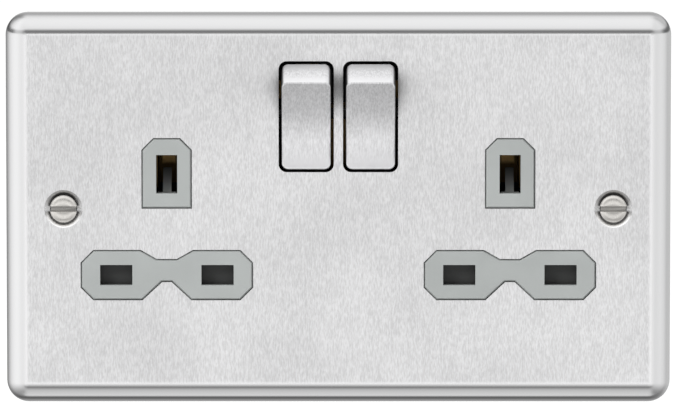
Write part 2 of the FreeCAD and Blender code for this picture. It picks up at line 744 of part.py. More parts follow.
def make_front_housing():
    """The black moulding behind the plate, which carries the rockers and shutters and clamps the inserts."""
    wide = "slab_half_width"
    outline = rectangle((f"-{wide}", wide), ("-slab_bottom", "slab_top"))
    slab = prism("Slab", "XZ_Plane", outline, (SLAB_FRONT, SLAB_BACK))
    soften(slab, "slab_corner", along_y)
    added, taken = [slab], []
    room = "(rocker_offset - cheek_thickness / 2)"
    low, high = "rocker_height - cheek_height / 2", "rocker_height + cheek_height / 2"
    depth = (SLAB_FRONT, f"{SLAB_BACK} + cheek_depth")
    added.append(block("CheekMiddle", ("-cheek_thickness / 2", "cheek_thickness / 2"), depth, (low, high)))
    for side, sign in SIDES.items():
        inner = "(rocker_offset + rocker_width / 2 + side_room)"
        outer = f"({inner} + cheek_thickness)"
        span = (inner, outer) if side == "right" else (f"-{outer}", f"-{inner}")
        added.append(block(f"Cheek_{side}", span, depth, (low, high)))
        half = "(rocker_width / 2 + side_room)"
        taken.append(
            block(
                f"RockerRoom_{side}",
                (rocker_x(side, f"-{half}"), rocker_x(side, half)),
                (f"{SLAB_FRONT} - {PAST}", f"{SLAB_BACK} + cheek_depth + {PAST}"),
                ("rocker_height - rocker_room", "rocker_height + rocker_room"),
            )
        )
        reach = f"({half} + pivot_bite + slide_gap)"
        taken.append(
            rod(
                f"PivotHole_{side}",
                "x",
                "pivot_radius + seat_gap",
                f"2 * {reach}",
                (rocker_x(side, f"-{reach}"), PIVOT_Y, "rocker_height"),
            )
        )
        left_end, right_end = shutter_span(side)
        rail = (f"{SHUTTER_LOW} - shutter_travel - rail_under", f"{PIN_Z} + live_aperture_height + rail_over")
        lip = (f"{SHUTTER_BACK} + slide_gap", f"{SHUTTER_BACK} + slide_gap + lip_depth")
        slot_low = f"{TONGUE_LOW} - shutter_travel"
        guide = (f"{slot_low} - guide_height", f"{slot_low} - slide_gap")
        for name, edge, out in (("A", left_end, "-"), ("B", right_end, "")):
            near = f"({edge} + {out}slide_gap)"
            far = f"({near} + {out}rail_thickness)"
            inset = f"({near} - {out}rail_lip)"
            span = (far, near) if out else (near, far)
            hook = (near, inset) if out else (inset, near)
            added.append(block(f"Rail{name}_{side}", span, (SLAB_FRONT, lip[1]), rail))
            added.append(block(f"Lip{name}_{side}", hook, lip, rail))
            near = f"({outlet_x(side)} + {out}(stem_width / 2 + slide_gap))"
            far = f"({near} + {out}rail_thickness)"
            inset = f"({near} - {out}rail_lip / 2)"
            span = (far, near) if out else (near, far)
            hook = (near, inset) if out else (inset, near)
            added.append(block(f"Guide{name}_{side}", span, (SLAB_FRONT, lip[1]), guide))
            added.append(block(f"GuideLip{name}_{side}", hook, lip, guide))
        half = "(shutter_spring_radius + shutter_wire + slide_gap)"
        added.append(
            block(
                f"SpringLedge_{side}",
                (outlet_x(side, f"-{half}"), outlet_x(side, half)),
                (SLAB_FRONT, f"{SPRING_Y} + {half}"),
                (f"{SPRING_LOW} - rail_thickness", SPRING_LOW),
            )
        )
        through = (f"{SLAB_FRONT} - {PAST}", SLAB_BACK)
        taken += apertures(f"SlabAperture_{side}", side, "2 * slide_gap", through)
    for n, (x, z) in enumerate(BONDS):
        added.append(
            rod(
                f"BondTower{n}",
                "y",
                "bond_tower_radius",
                f"{EARTH_BAR_FRONT} - seat_gap - ({SLAB_FRONT})",
                (x, SLAB_FRONT, z),
            )
        )
        taken.append(rod(f"BondBore{n}", "y", "assembly_hole", "2 * case_depth", (x, "-plate_depth", z)))
    for n, (x, z) in enumerate(CORNERS + BONDS):
        taken.append(
            rod(
                f"BossRoom{n}",
                "y",
                "boss_outer + slide_gap",
                "boss_end + seat_gap + plate_depth",
                (x, "-plate_depth", z),
            )
        )
    finish("front_housing", cut("FrontHousing", join("FrontSolid", added), taken))


def make_rear_housing():
    """The black tub that covers the conductors, with towers, posts, ribs and wire gates."""
    front = f"{SLAB_BACK} + seat_gap"
    wide, tall = "case_half_width", "case_half_height"
    outline = rectangle((f"-{wide}", wide), (f"-{tall}", tall))
    outer = prism("CaseOuter", "XZ_Plane", outline, (front, "case_depth"))
    soften(outer, "case_corner", along_y)
    wide, tall = "(case_half_width - case_wall)", "(case_half_height - case_wall)"
    hollow = block("CaseHollow", (f"-{wide}", wide), (f"{front} - {PAST}", CASE_INNER), (f"-{tall}", tall))
    added, taken = [cut("CaseTub", outer, [hollow])], []

    def post(name, x, z, start, half="post_width / 2"):
        """A square post from the back wall up to a conductor."""
        span = (f"{x} - {half}", f"{x} + {half}")
        added.append(block(name, span, (start, "case_depth"), (f"{z} - {half}", f"{z} + {half}")))

    for side in SIDES:
        for label, middle in (("Line", LINE), ("Neutral", NEUTRAL)):
            post(f"Post{label}_{side}", outlet_x(side, middle), PIN_Z, f"{RIVET_END} + seat_gap")
        behind = f"{EARTH_BAR_BACK} + 2 * seat_gap + rivet_thickness"
        post(f"PostEarth_{side}", outlet_x(side), EARTH_Z, behind)
        behind = f"{STRIP_BACK} + seat_gap"
        post(f"PostTip_{side}", rocker_x(side), TIP_Z, behind, "post_width / 2 - rivet_thickness")
    post("PostFeed", "0", "rocker_height", f"{FULCRUM_Y} + bar_thickness + seat_gap", "fulcrum_height / 2")
    steps = list(TERMINAL_STEPS.values())
    for n, step in enumerate([steps[0] - 1] + steps):
        x = f"({step} + 1 / 2) * terminal_pitch"
        span = (f"{x} - rib_thickness / 2", f"{x} + rib_thickness / 2")
        height = ("-case_half_height", f"{BLOCK_TOP} - rib_drop")
        added.append(block(f"Rib{n}", span, (BLOCK_FRONT, "case_depth"), height))
    for name, x in TERMINALS.items():
        plate = "strip_thickness + 2 * seat_gap" if "earth" in name else "seat_gap"
        half = "(terminal_width / 2 - 2 * seat_gap)"
        added.append(
            block(
                f"Pad_{name}",
                (f"{x} - {half}", f"{x} + {half}"),
                (f"{BLOCK_BACK} + {plate}", "case_depth"),
                (BLOCK_BOTTOM, f"{BLOCK_TOP} - rib_drop"),
            )
        )
        taken.append(
            rod(
                f"DriverHole_{name}",
                "y",
                "screw_head_radius + 2 * slide_gap",
                "case_depth",
                (x, BLOCK_BACK, SCREW_Z),
            )
        )
        half = "(wire_radius + gate_margin)"
        taken.append(
            block(
                f"WireGate_{name}",
                (f"{x} - {half}", f"{x} + {half}"),
                (f"{WIRE_Y} - {half}", f"{WIRE_Y} + {half}"),
                (f"-case_half_height - {PAST}", f"-case_half_height + case_wall + {PAST}"),
            )
        )
    for n, (x, z) in enumerate(CORNERS):
        start = "boss_end + seat_gap"
        added.append(rod(f"Tower{n}", "y", "tower_radius", f"case_depth - ({start})", (x, start, z)))
        taken.append(rod(f"TowerBore{n}", "y", "assembly_hole", "2 * case_depth", (x, "0", z)))
        taken.append(
            rod(
                f"HeadPocket{n}",
                "y",
                "assembly_head_radius + 2 * slide_gap",
                "case_depth",
                (x, "case_depth - head_pocket", z),
            )
        )
    for n, (x, z) in enumerate(BONDS):
        taken.append(rod(f"BondAccess{n}", "y", "bond_tower_radius", "case_depth", (x, EARTH_BAR_BACK, z)))
    taken.append(
        block(
            "RockerNotch",
            ("-(2 * rocker_offset + slide_gap)", "2 * rocker_offset + slide_gap"),
            (f"{front} - {PAST}", "notch_end"),
            (f"case_half_height - case_wall - {PAST}", f"case_half_height + {PAST}"),
        )
    )
    finish("rear_housing", cut("RearHousing", join("RearSolid", added), taken))


def rocker_form(name, inset):
    """The rocker's outer form, drawn in by the inset, about its pivot."""
    half = f"(rocker_width / 2 - ({inset}))"
    ridge = f"(ridge_height - ridge_shift * ({inset}))"
    reach = f"(ridge_reach - reach_shift * ({inset}))"
    edge = f"(facet_height - facet_shift * ({inset}))"
    middle = f"(hollow_depth - ridge_reach + ({inset}))"
    outline = [
        ("-facet_reach", edge),
        (f"-{reach}", ridge),
        (f"-{reach}", f"-{ridge}"),
        ("-facet_reach", f"-{edge}"),
    ]
    centre = "hollow_depth - ridge_reach - hollow_radius"
    form = prism(name, "YZ_Plane", outline, (f"-{half}", half), (1, middle, centre))
    return soften(form, f"rocker_corner - ({inset})", up_a_facet)


def tilt(piece, at, angle):
    """Sets a piece at a place, turned about X."""
    piece.Placement = FreeCAD.Placement(V(), FreeCAD.Rotation(AXES["x"], 1))
    piece.setExpression("Placement.Rotation.Angle", bind(angle))
    place(piece, at)


def make_rockers():
    """Each rocker: a metal cap, its black body, and a sprung plunger that works the moving contact."""
    for side in SIDES:
        pivot = (rocker_x(side), PIVOT_Y, "rocker_height")
        outer = rocker_form(f"CapOuter_{side}", "0")
        soften(outer, "cap_edge", ahead_of("hollow_depth - ridge_reach"))
        shell = cut(f"Cap_{side}", outer, [rocker_form(f"CapInner_{side}", "cap_sheet")])
        tilt(shell, pivot, "rocker_tilt")
        finish(f"rocker_cap_{side}", shell)

        core_inset = "cap_sheet + seat_gap"
        half = f"(rocker_width / 2 - ({core_inset}))"
        web = "(ridge_height + web_margin)"
        span = (f"-{half}", half)
        depth = ("-facet_reach - web_lap", "-facet_reach * web_share")
        parts = [
            rocker_form(f"Core_{side}", core_inset),
            block(f"Web_{side}", span, depth, (f"-{web}", web)),
            block(f"Neck_{side}", span, ("-facet_reach", "0"), ("-boss_radius", "boss_radius")),
            rod(f"PivotBoss_{side}", "x", "boss_radius", f"2 * {half}", (f"-{half}", "0", "0")),
            rod(f"Tube_{side}", "y", "tube_radius", "tube_reach", ("0", "0", "0")),
        ]
        reach = "(rocker_width / 2 + side_room + pivot_bite)"
        parts.append(rod(f"Pivot_{side}", "x", "pivot_radius", f"2 * {reach}", (f"-{reach}", "0", "0")))
        bore = rod(f"TubeBore_{side}", "y", "tube_bore", "2 * tube_reach", ("0", "-tube_floor", "0"))
        body = cut(f"RockerBody_{side}", join(f"RockerSolid_{side}", parts), [bore])
        tilt(body, pivot, "rocker_tilt")
        finish(f"rocker_body_{side}", body)

        stem = "(plunger_reach - nose_radius)"
        floor = f"({stem} - plunger_floor)"
        at = ("0", "plunger_start", "0")
        sleeve = rod(f"PlungerSleeve_{side}", "y", "plunger_radius", "tube_reach - plunger_start", at)
        nose = rod(f"PlungerStem_{side}", "y", "nose_radius", f"{stem} - plunger_start", at)
        tip = ball(f"PlungerNose_{side}", "nose_radius", ("0", stem, "0"))
        at = ("0", f"plunger_start - {PAST}", "0")
        well = rod(f"PlungerWell_{side}", "y", "plunger_bore", f"{floor} - plunger_start + {PAST}", at)
        plunger = cut(f"Plunger_{side}", join(f"PlungerSolid_{side}", [sleeve, nose, tip]), [well])
        tilt(plunger, pivot, "rocker_tilt")
        finish(f"rocker_plunger_{side}", plunger)

        radius = value("plunger_bore - plunger_wire / 2 - slide_gap")
        length = value(f"{floor} + tube_floor - 2 * spring_gap")
        turns = int(value("plunger_turns"))
        coil = spring(f"RockerSpring_{side}", radius, value("plunger_wire"), length, turns)
        lean = FreeCAD.Rotation(AXES["x"], value("rocker_tilt"))
        start = lean.multVec(V(0, value("spring_gap - tube_floor"), 0))
        turn = lean.multiply(FreeCAD.Rotation(AXES["z"], AXES["y"]))
        coil.Placement = FreeCAD.Placement(V(*[value(text) for text in pivot]) + start, turn)
        finish(f"rocker_spring_{side}", coil)


def make_contacts():
    """Each switch's moving contact, which rocks on the line feed, with its silver tips."""
    back, rise = "contact_arm * sin(vee_angle)", "contact_arm * cos(vee_angle)"
    thick_y, thick_z = "strip_thickness * cos(vee_angle)", "strip_thickness * sin(vee_angle)"
    valley = "strip_thickness / cos(vee_angle)"
    outline = [
        ("0", "0"),
        (f"-{back}", rise),
        (f"-{back} - {thick_y}", f"{rise} - {thick_z}"),
        (f"-{valley}", "0"),
        (f"-{back} - {thick_y}", f"-({rise} - {thick_z})"),
        (f"-{back}", f"-({rise})"),
    ]
    for side in SIDES:
        span = ("-contact_width / 2", "contact_width / 2")
        strip = prism(f"MovingContact_{side}", "YZ_Plane", outline, span)
        tilt(strip, (rocker_x(side), APEX_Y, "rocker_height"), "-rocker_tilt")
        finish(f"moving_contact_{side}", strip)
        moving = rod(f"MovingTip_{side}", "y", "tip_radius", "tip_thickness", ("0", "0", "0"))
        arm_y = f"{APEX_Y} - tip_arm * sin({TIP_ANGLE}) + seat_gap / 2"
        tilt(moving, (rocker_x(side), arm_y, TIP_Z), f"-90 + {TIP_ANGLE}")
        finish(f"moving_tip_{side}", moving)
        gap = f"{APEX_Y} - tip_arm * sin({TIP_ANGLE}) + tip_thickness + tip_gap"
        fixed = rod(
            f"FixedTip_{side}", "y", "tip_radius", f"{STRIP_FRONT} - ({gap})", (rocker_x(side), gap, TIP_Z)
        )
        finish(f"fixed_tip_{side}", fixed)


def make_line_feed():
    """The strip from the line terminal up to the two fulcrums."""
    half = "riser_width / 2"
    depth = ("fulcrum_y - riser_set", "fulcrum_y - riser_set + bar_thickness")
    low, high = "rocker_height - fulcrum_height / 2", "rocker_height + fulcrum_height / 2"
    riser = block("Riser", (f"-{half}", half), depth, (BLOCK_TOP, high))
    link = block("FeedLink", (f"-{half}", half), (depth[0], FULCRUM_Y), (low, high))
    reach = "(rocker_offset + contact_width / 2)"
    bar = block("FulcrumBar", (f"-{reach}", reach), (FULCRUM_Y, f"{FULCRUM_Y} + bar_thickness"), (low, high))
    finish("line_feed", join("LineFeed", [riser, link, bar]))


def make_live_clips():
    """The line and neutral clips: two jaws each, joined behind the pin and riveted to a strip."""
    mouth = "-plate_depth + jaw_mouth"
    back = (f"{STRIP_FRONT} - seat_gap - jaw_thickness", f"{STRIP_FRONT} - seat_gap")
    near, far = "jaw_gap / 2", "(jaw_gap / 2 + jaw_thickness)"
    for side in SIDES:
        for label, middle in (("line", LINE), ("neutral", NEUTRAL)):
            name = f"{label}_clip_{side}"
            x = outlet_x(side, middle)
            span = (f"{x} - live_jaw_width / 2", f"{x} + live_jaw_width / 2")
            head = f"{STRIP_BACK} + seat_gap"
            parts = [
                block(f"{name}_upper", span, (mouth, back[1]), (f"{PIN_Z} + {near}", f"{PIN_Z} + {far}")),
                block(f"{name}_lower", span, (mouth, back[1]), (f"{PIN_Z} - {far}", f"{PIN_Z} - {near}")),
                block(f"{name}_back", span, back, (f"{PIN_Z} - {far}", f"{PIN_Z} + {far}")),
                rod(f"{name}_rivet", "y", "rivet_radius", f"{RIVET_END} - ({back[0]})", (x, back[0], PIN_Z)),
                rod(f"{name}_head", "y", "rivet_head", "rivet_thickness", (x, head, PIN_Z)),
            ]
            finish(name, join(f"{name}_solid", parts))


def make_live_strips():
    """The strips from each switch to its line clip, and the bar that joins the neutral clips."""
    depth = (STRIP_FRONT, STRIP_BACK)
    half = "strip_width / 2"
    foot = f"{PIN_Z} - jaw_gap / 2"
    for side in SIDES:
        clip, switch = outlet_x(side, LINE), rocker_x(side)
        run = (f"{clip} - {half}", f"{switch} + contact_width / 2")
        if side == "right":
            run = (f"{switch} - contact_width / 2", f"{clip} + {half}")
        parts = [
            block(f"StripDrop_{side}", (f"{clip} - {half}", f"{clip} + {half}"), depth, (foot, "run_top")),
            block(f"StripRun_{side}", run, depth, ("run_top - run_height", "run_top")),
            block(
                f"StripPad_{side}",
                (f"{switch} - contact_width / 2", f"{switch} + contact_width / 2"),
                depth,
                ("run_top - run_height", "pad_top"),
            ),
        ]
        hole = rod(f"StripHole_{side}", "y", "rivet_radius + seat_gap", "case_depth", (clip, "0", PIN_Z))
        finish(f"line_strip_{side}", cut(f"LineStrip_{side}", join(f"StripSolid_{side}", parts), [hole]))
    first, last = outlet_x("left", NEUTRAL), outlet_x("right", NEUTRAL)
    low, high = BLOCK_TOP, f"{BLOCK_TOP} + neutral_bar_height"
    parts = [block("NeutralRun", (f"{first} - {half}", f"{last} + {half}"), depth, (low, high))]
    holes = []
    for side, x in (("left", first), ("right", last)):
        span = (f"{x} - {half}", f"{x} + {half}")
        parts.append(block(f"NeutralDrop_{side}", span, depth, (low, f"{PIN_Z} + jaw_gap / 2")))
        at = (x, "0", PIN_Z)
        holes.append(rod(f"NeutralHole_{side}", "y", "rivet_radius + seat_gap", "case_depth", at))
    finish("neutral_bar", cut("NeutralBar", join("NeutralSolid", parts), holes))


def make_earth_parts():
    """The earth clips, whose jaws grip the long pin from its sides, and the bar that joins and bonds them."""
    mouth = "-plate_depth + jaw_mouth"
    back = (EARTH_BACK, f"{EARTH_BACK} + jaw_thickness")
    near, far = "jaw_gap / 2", "(jaw_gap / 2 + jaw_thickness)"
    height = (f"{EARTH_Z} - earth_jaw_height / 2", f"{EARTH_Z} + earth_jaw_height / 2")
    head = f"{EARTH_BAR_BACK} + seat_gap"
    rivet = f"{head} + rivet_thickness - ({back[0]})"
    holes = []
    for side in SIDES:
        x = outlet_x(side)
        parts = [
            block(f"EarthJawA_{side}", (f"{x} - {far}", f"{x} - {near}"), (mouth, back[1]), height),
            block(f"EarthJawB_{side}", (f"{x} + {near}", f"{x} + {far}"), (mouth, back[1]), height),
            block(f"EarthBridge_{side}", (f"{x} - {far}", f"{x} + {far}"), back, height),
            rod(f"EarthRivet_{side}", "y", "rivet_radius", rivet, (x, back[0], EARTH_Z)),
            rod(f"EarthHead_{side}", "y", "rivet_head", "rivet_thickness", (x, head, EARTH_Z)),
        ]
        finish(f"earth_clip_{side}", join(f"EarthClip_{side}", parts))
        at = (x, "0", EARTH_Z)
        holes.append(rod(f"EarthHole_{side}", "y", "rivet_radius + seat_gap", "2 * case_depth", at))
    depth = (EARTH_BAR_FRONT, EARTH_BAR_BACK)
    tall = "earth_bar_height / 2"
    reach = "(outlet_offset + rivet_head + bar_margin)"
    parts = [block("EarthRun", (f"-{reach}", reach), depth, (f"{EARTH_Z} - {tall}", f"{EARTH_Z} + {tall}"))]
    for name in ("earth_left", "earth_right"):
        x = TERMINALS[name]
        span = (f"{x} - earth_drop_width / 2", f"{x} + earth_drop_width / 2")
        parts.append(block(f"EarthDrop_{name}", span, depth, (SCREW_Z, EARTH_Z)))
        fork = (f"{x} - terminal_width / 2", f"{x} + terminal_width / 2")
        parts.append(block(f"EarthFork_{name}", fork, depth, (f"{BLOCK_BOTTOM} + fork_inset", BLOCK_TOP)))
        at = (x, "0", SCREW_Z)
        holes.append(rod(f"EarthPass_{name}", "y", "screw_radius + slide_gap", "2 * case_depth", at))
    for n, (x, z) in enumerate(BONDS):
        holes.append(rod(f"BondPass{n}", "y", "assembly_hole", "2 * case_depth", (x, "0", z)))
    finish("earth_bar", cut("EarthBar", join("EarthSolid", parts), holes))


def make_terminals():
    """Brass terminal blocks with a blind wire hole from below and a clamping screw from behind."""
    screws = []
    for name, x in TERMINALS.items():
        span = (f"{x} - terminal_width / 2", f"{x} + terminal_width / 2")
        body = block(f"Block_{name}", span, (BLOCK_FRONT, BLOCK_BACK), (BLOCK_BOTTOM, BLOCK_TOP))
        at = (x, WIRE_Y, f"{BLOCK_BOTTOM} - {PAST}")
        wire = rod(f"WireHole_{name}", "z", "wire_radius", f"wire_depth + {PAST}", at)
        thread = rod(f"Thread_{name}", "y", "screw_radius + thread_gap", "case_depth", (x, WIRE_Y, SCREW_Z))
        finish(f"terminal_{name}", cut(f"Terminal_{name}", body, [wire, thread]))
        start = f"{WIRE_Y} + wire_radius + seat_gap"
        head = "head_seat"
        shank = rod(f"ClampShank_{name}", "y", "screw_radius", f"{head} - ({start})", (x, start, SCREW_Z))
        cap = rod(f"ClampHead_{name}", "y", "screw_head_radius", "screw_head_height", (x, head, SCREW_Z))
        reach = "2 * screw_head_radius"
        slot = block(
            f"ClampSlot_{name}",
            (f"{x} - {reach}", f"{x} + {reach}"),
            (f"{head} + screw_head_height - slot_depth", "case_depth"),
            (f"{SCREW_Z} - slot_width / 2", f"{SCREW_Z} + slot_width / 2"),
        )
        screws.append(cut(f"ClampScrew_{name}", join(f"ClampSolid_{name}", [shank, cap]), [slot]))
    finish("terminal_screws", join("TerminalScrews", screws))


def make_housing_screws():
    """The screws that hold the rear moulding, and the two that bond the earth bar to the plate."""
    end = "boss_end - screw_bite"
    groups = (
        ("assembly_screws", CORNERS, "case_depth - head_pocket + seat_gap"),
        ("bonding_screws", BONDS, f"{EARTH_BAR_BACK} + seat_gap"),
    )
    for name, spots, seat in groups:
        screws = []
        for n, (x, z) in enumerate(spots):
            shank = rod(f"{name}{n}_shank", "y", "assembly_radius", f"{seat} - ({end})", (x, end, z))
            cap = rod(f"{name}{n}_head", "y", "assembly_head_radius", "assembly_head", (x, seat, z))
            reach = "2 * assembly_head_radius"
            slot = block(
                f"{name}{n}_slot",
                (f"{x} - {reach}", f"{x} + {reach}"),
                (f"{seat} + assembly_head / 2", f"{seat} + 2 * assembly_head"),
                (f"{z} - slot_width / 2", f"{z} + slot_width / 2"),
            )
            screws.append(cut(f"{name}{n}", join(f"{name}{n}_solid", [shank, cap]), [slot]))
        finish(name, join(f"{name}_all", screws))


make_faceplate()
make_plate_bosses()
make_fixing_screws()
make_inserts()
make_front_housing()
make_rear_housing()
make_rockers()
make_contacts()
make_line_feed()
make_live_clips()
make_live_strips()
make_earth_parts()
make_terminals()
make_housing_screws()
make_shutters()
doc.recompute()

failed = [thing.Name for thing in doc.Objects if "Invalid" in thing.State or "Error" in thing.State]
failed += [name for name, piece in nodes.items() if piece.Shape.isNull() or not piece.Shape.isValid()]
if failed:
    raise RuntimeError("not made: " + ", ".join(failed))

os.makedirs("parts", exist_ok=True)
for name, piece in nodes.items():
    piece.Shape.exportStep(f"parts/{name}.step")
    print(f"{name}: {len(piece.Shape.Solids)} solids, {piece.Shape.Volume:.1f} mm3")
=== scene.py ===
import math

import bmesh
import bpy
from mathutils import Matrix, Vector


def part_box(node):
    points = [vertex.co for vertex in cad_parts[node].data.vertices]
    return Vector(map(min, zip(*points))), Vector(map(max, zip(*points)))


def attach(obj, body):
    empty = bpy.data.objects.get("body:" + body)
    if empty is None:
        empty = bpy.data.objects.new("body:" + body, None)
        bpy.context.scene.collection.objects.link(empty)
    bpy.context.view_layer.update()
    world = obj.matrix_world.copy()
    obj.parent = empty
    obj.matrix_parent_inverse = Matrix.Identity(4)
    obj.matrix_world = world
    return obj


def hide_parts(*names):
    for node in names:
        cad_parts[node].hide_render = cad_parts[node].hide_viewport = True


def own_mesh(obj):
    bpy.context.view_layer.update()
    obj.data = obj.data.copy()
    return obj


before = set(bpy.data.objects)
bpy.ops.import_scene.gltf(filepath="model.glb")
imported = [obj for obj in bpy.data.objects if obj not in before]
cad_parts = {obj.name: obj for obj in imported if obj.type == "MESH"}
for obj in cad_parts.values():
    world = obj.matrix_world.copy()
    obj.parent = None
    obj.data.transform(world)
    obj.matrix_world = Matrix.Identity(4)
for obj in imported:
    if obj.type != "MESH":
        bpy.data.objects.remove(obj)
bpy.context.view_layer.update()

bl_info = {
    "name": "Twin Wall Socket",
    "version": (1, 0, 0),
    "blender": (4, 5, 0),
    "location": "View3D > Sidebar > Socket",
    "description": "Gives the twin wall socket its metals, plastics, screws, springs and stage",
    "category": "Object",
}

MM = 0.001
SIDES = ("left", "right")
PLATE_LOW, PLATE_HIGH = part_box("faceplate")


# Sizes and colours that a user would change


class SocketFinish(bpy.types.PropertyGroup):
    """Colours and surface sizes of the socket's pieces."""

    plate_colour: bpy.props.FloatVectorProperty(
        name="Plate", description="Colour of the brushed plate", subtype="COLOR", size=3,
        default=(0.81, 0.81, 0.815),
    )
    rocker_colour: bpy.props.FloatVectorProperty(
        name="Rockers", description="Colour of the rocker caps", subtype="COLOR", size=3,
        default=(0.82, 0.82, 0.83),
    )
    screw_colour: bpy.props.FloatVectorProperty(
        name="Screws", description="Colour of the plated screws", subtype="COLOR", size=3,
        default=(0.66, 0.64, 0.61),
    )
    insert_colour: bpy.props.FloatVectorProperty(
        name="Inserts", description="Colour of the grey mouldings", subtype="COLOR", size=3,
        default=(0.51, 0.535, 0.525),
    )
    shutter_colour: bpy.props.FloatVectorProperty(
        name="Shutters", description="Colour of the sliding guards", subtype="COLOR", size=3,
        default=(0.055, 0.056, 0.055),
    )
    case_colour: bpy.props.FloatVectorProperty(
        name="Housings", description="Colour of the black mouldings", subtype="COLOR", size=3,
        default=(0.018, 0.018, 0.019),
    )
    brass_colour: bpy.props.FloatVectorProperty(
        name="Brass", description="Colour of the conductors", subtype="COLOR", size=3,
        default=(0.56, 0.37, 0.15),
    )
    silver_colour: bpy.props.FloatVectorProperty(
        name="Silver", description="Colour of the contact tips", subtype="COLOR", size=3,
        default=(0.86, 0.85, 0.82),
    )
    steel_colour: bpy.props.FloatVectorProperty(
        name="Steel", description="Colour of the zinc-plated steel", subtype="COLOR", size=3,
        default=(0.52, 0.53, 0.55),
    )
    grain_width: bpy.props.FloatProperty(
        name="Grain Width", description="Width of one brushed streak",
        default=0.00032, unit="LENGTH", precision=5,
    )
    grain_length: bpy.props.FloatProperty(
        name="Grain Length", description="Length of one brushed streak",
        default=0.0014, unit="LENGTH", precision=5,
    )
    rim_width: bpy.props.FloatProperty(
        name="Rim Width", description="Width of the plate's smooth rounded rim",
        default=0.0049, unit="LENGTH", precision=4,
    )


class SocketStage(bpy.types.PropertyGroup):
    """Camera and lights."""

    camera_distance: bpy.props.FloatProperty(
        name="Distance", description="From the middle of the plate to the camera",
        default=1.5643, unit="LENGTH",
    )
    camera_pitch: bpy.props.FloatProperty(
        name="Pitch", description="Height of the camera over the horizon",
        default=math.radians(5.712), subtype="ANGLE",
    )
    camera_lens: bpy.props.FloatProperty(
        name="Lens", description="Focal length in millimetres", default=376.4
    )
    key_power: bpy.props.FloatProperty(
        name="Key", description="Power of the key lamp", default=5.0, subtype="POWER"
    )
    floor_drop: bpy.props.FloatProperty(
        name="Floor", description="From the plate's lower edge down to the floor",
        default=0.04, unit="LENGTH",
    )


# Shader node helpers


def put(tree, kind, **settings):
    """Adds a node. Names of sockets set their values, other names set the node itself."""
    node = tree.nodes.new(kind)
    for name, value in settings.items():
        if hasattr(node, name):
            setattr(node, name, value)
        else:
            node.inputs[name.replace("_", " ")].default_value = value
    return node


def join(tree, *pairs):
    """Links pairs of sockets."""
    for source, target in pairs:
        tree.links.new(source, target)


def sums(tree, operation, first, second=None):
    """A math node on two sockets or numbers."""
    node = put(tree, "ShaderNodeMath", operation=operation)
    for index, term in enumerate((first, second)):
        if term is None:
            continue
        if isinstance(term, (int, float)):
            node.inputs[index].default_value = term
        else:
            tree.links.new(term, node.inputs[index])
    return node.outputs[0]


def plus(tree, first, second):
    """The sum of two sockets or numbers."""
    return sums(tree, "ADD", first, second)


def minus(tree, first, second):
    """The first less the second."""
    return sums(tree, "SUBTRACT", first, second)


def times(tree, first, second):
    """The product of two sockets or numbers."""
    return sums(tree, "MULTIPLY", first, second)


def spread(tree, source, from_low, from_high, to_low, to_high):
    """A smooth change from one span of values to another."""
    node = put(tree, "ShaderNodeMapRange", interpolation_type="SMOOTHSTEP")
    ends = {"From Min": from_low, "From Max": from_high, "To Min": to_low, "To Max": to_high}
    for name, value in ends.items():
        node.inputs[name].default_value = value
    tree.links.new(source, node.inputs["Value"])
    return node.outputs["Result"]


def tint(tree, mask, first, second):
    """A colour between two, by a mask."""
    node = put(tree, "ShaderNodeMix", data_type="RGBA")
    node.inputs[6].default_value = (*first, 1)
    node.inputs[7].default_value = (*second, 1)
    tree.links.new(mask, node.inputs["Factor"])
    return node.outputs[2]


def cover(tree, base, mask, colour):
    """Lays a colour over another, by a mask."""
    node = put(tree, "ShaderNodeMix", data_type="RGBA")
    node.inputs[7].default_value = (*colour, 1)
    join(tree, (mask, node.inputs["Factor"]), (base, node.inputs[6]))
    return node.outputs[2]


def place(tree, output="Object"):
    """The three numbers of a point's place, or of its normal, on the piece."""
    split = put(tree, "ShaderNodeSeparateXYZ")
    join(tree, (put(tree, "ShaderNodeTexCoord").outputs[output], split.inputs[0]))
    return split.outputs


def shade(colour, share):
    """A colour made lighter or darker."""
    return tuple(min(1.0, channel * share) for channel in colour)


def new_group(name, inputs, outputs):
    """An empty node group with named number inputs and outputs."""
    group = bpy.data.node_groups.new(name, "ShaderNodeTree")
    for label, default in inputs:
        socket = group.interface.new_socket(label, in_out="INPUT", socket_type="NodeSocketFloat")
        socket.default_value = default
    for label in outputs:
        group.interface.new_socket(label, in_out="OUTPUT", socket_type="NodeSocketFloat")
    return group, put(group, "NodeGroupInput").outputs, put(group, "NodeGroupOutput").inputs


# The finer streaks are this much smaller than the wide ones, which have this part in the mix
STREAK_SHARES = (1.0, 3.1)
WIDE_PART = 0.75


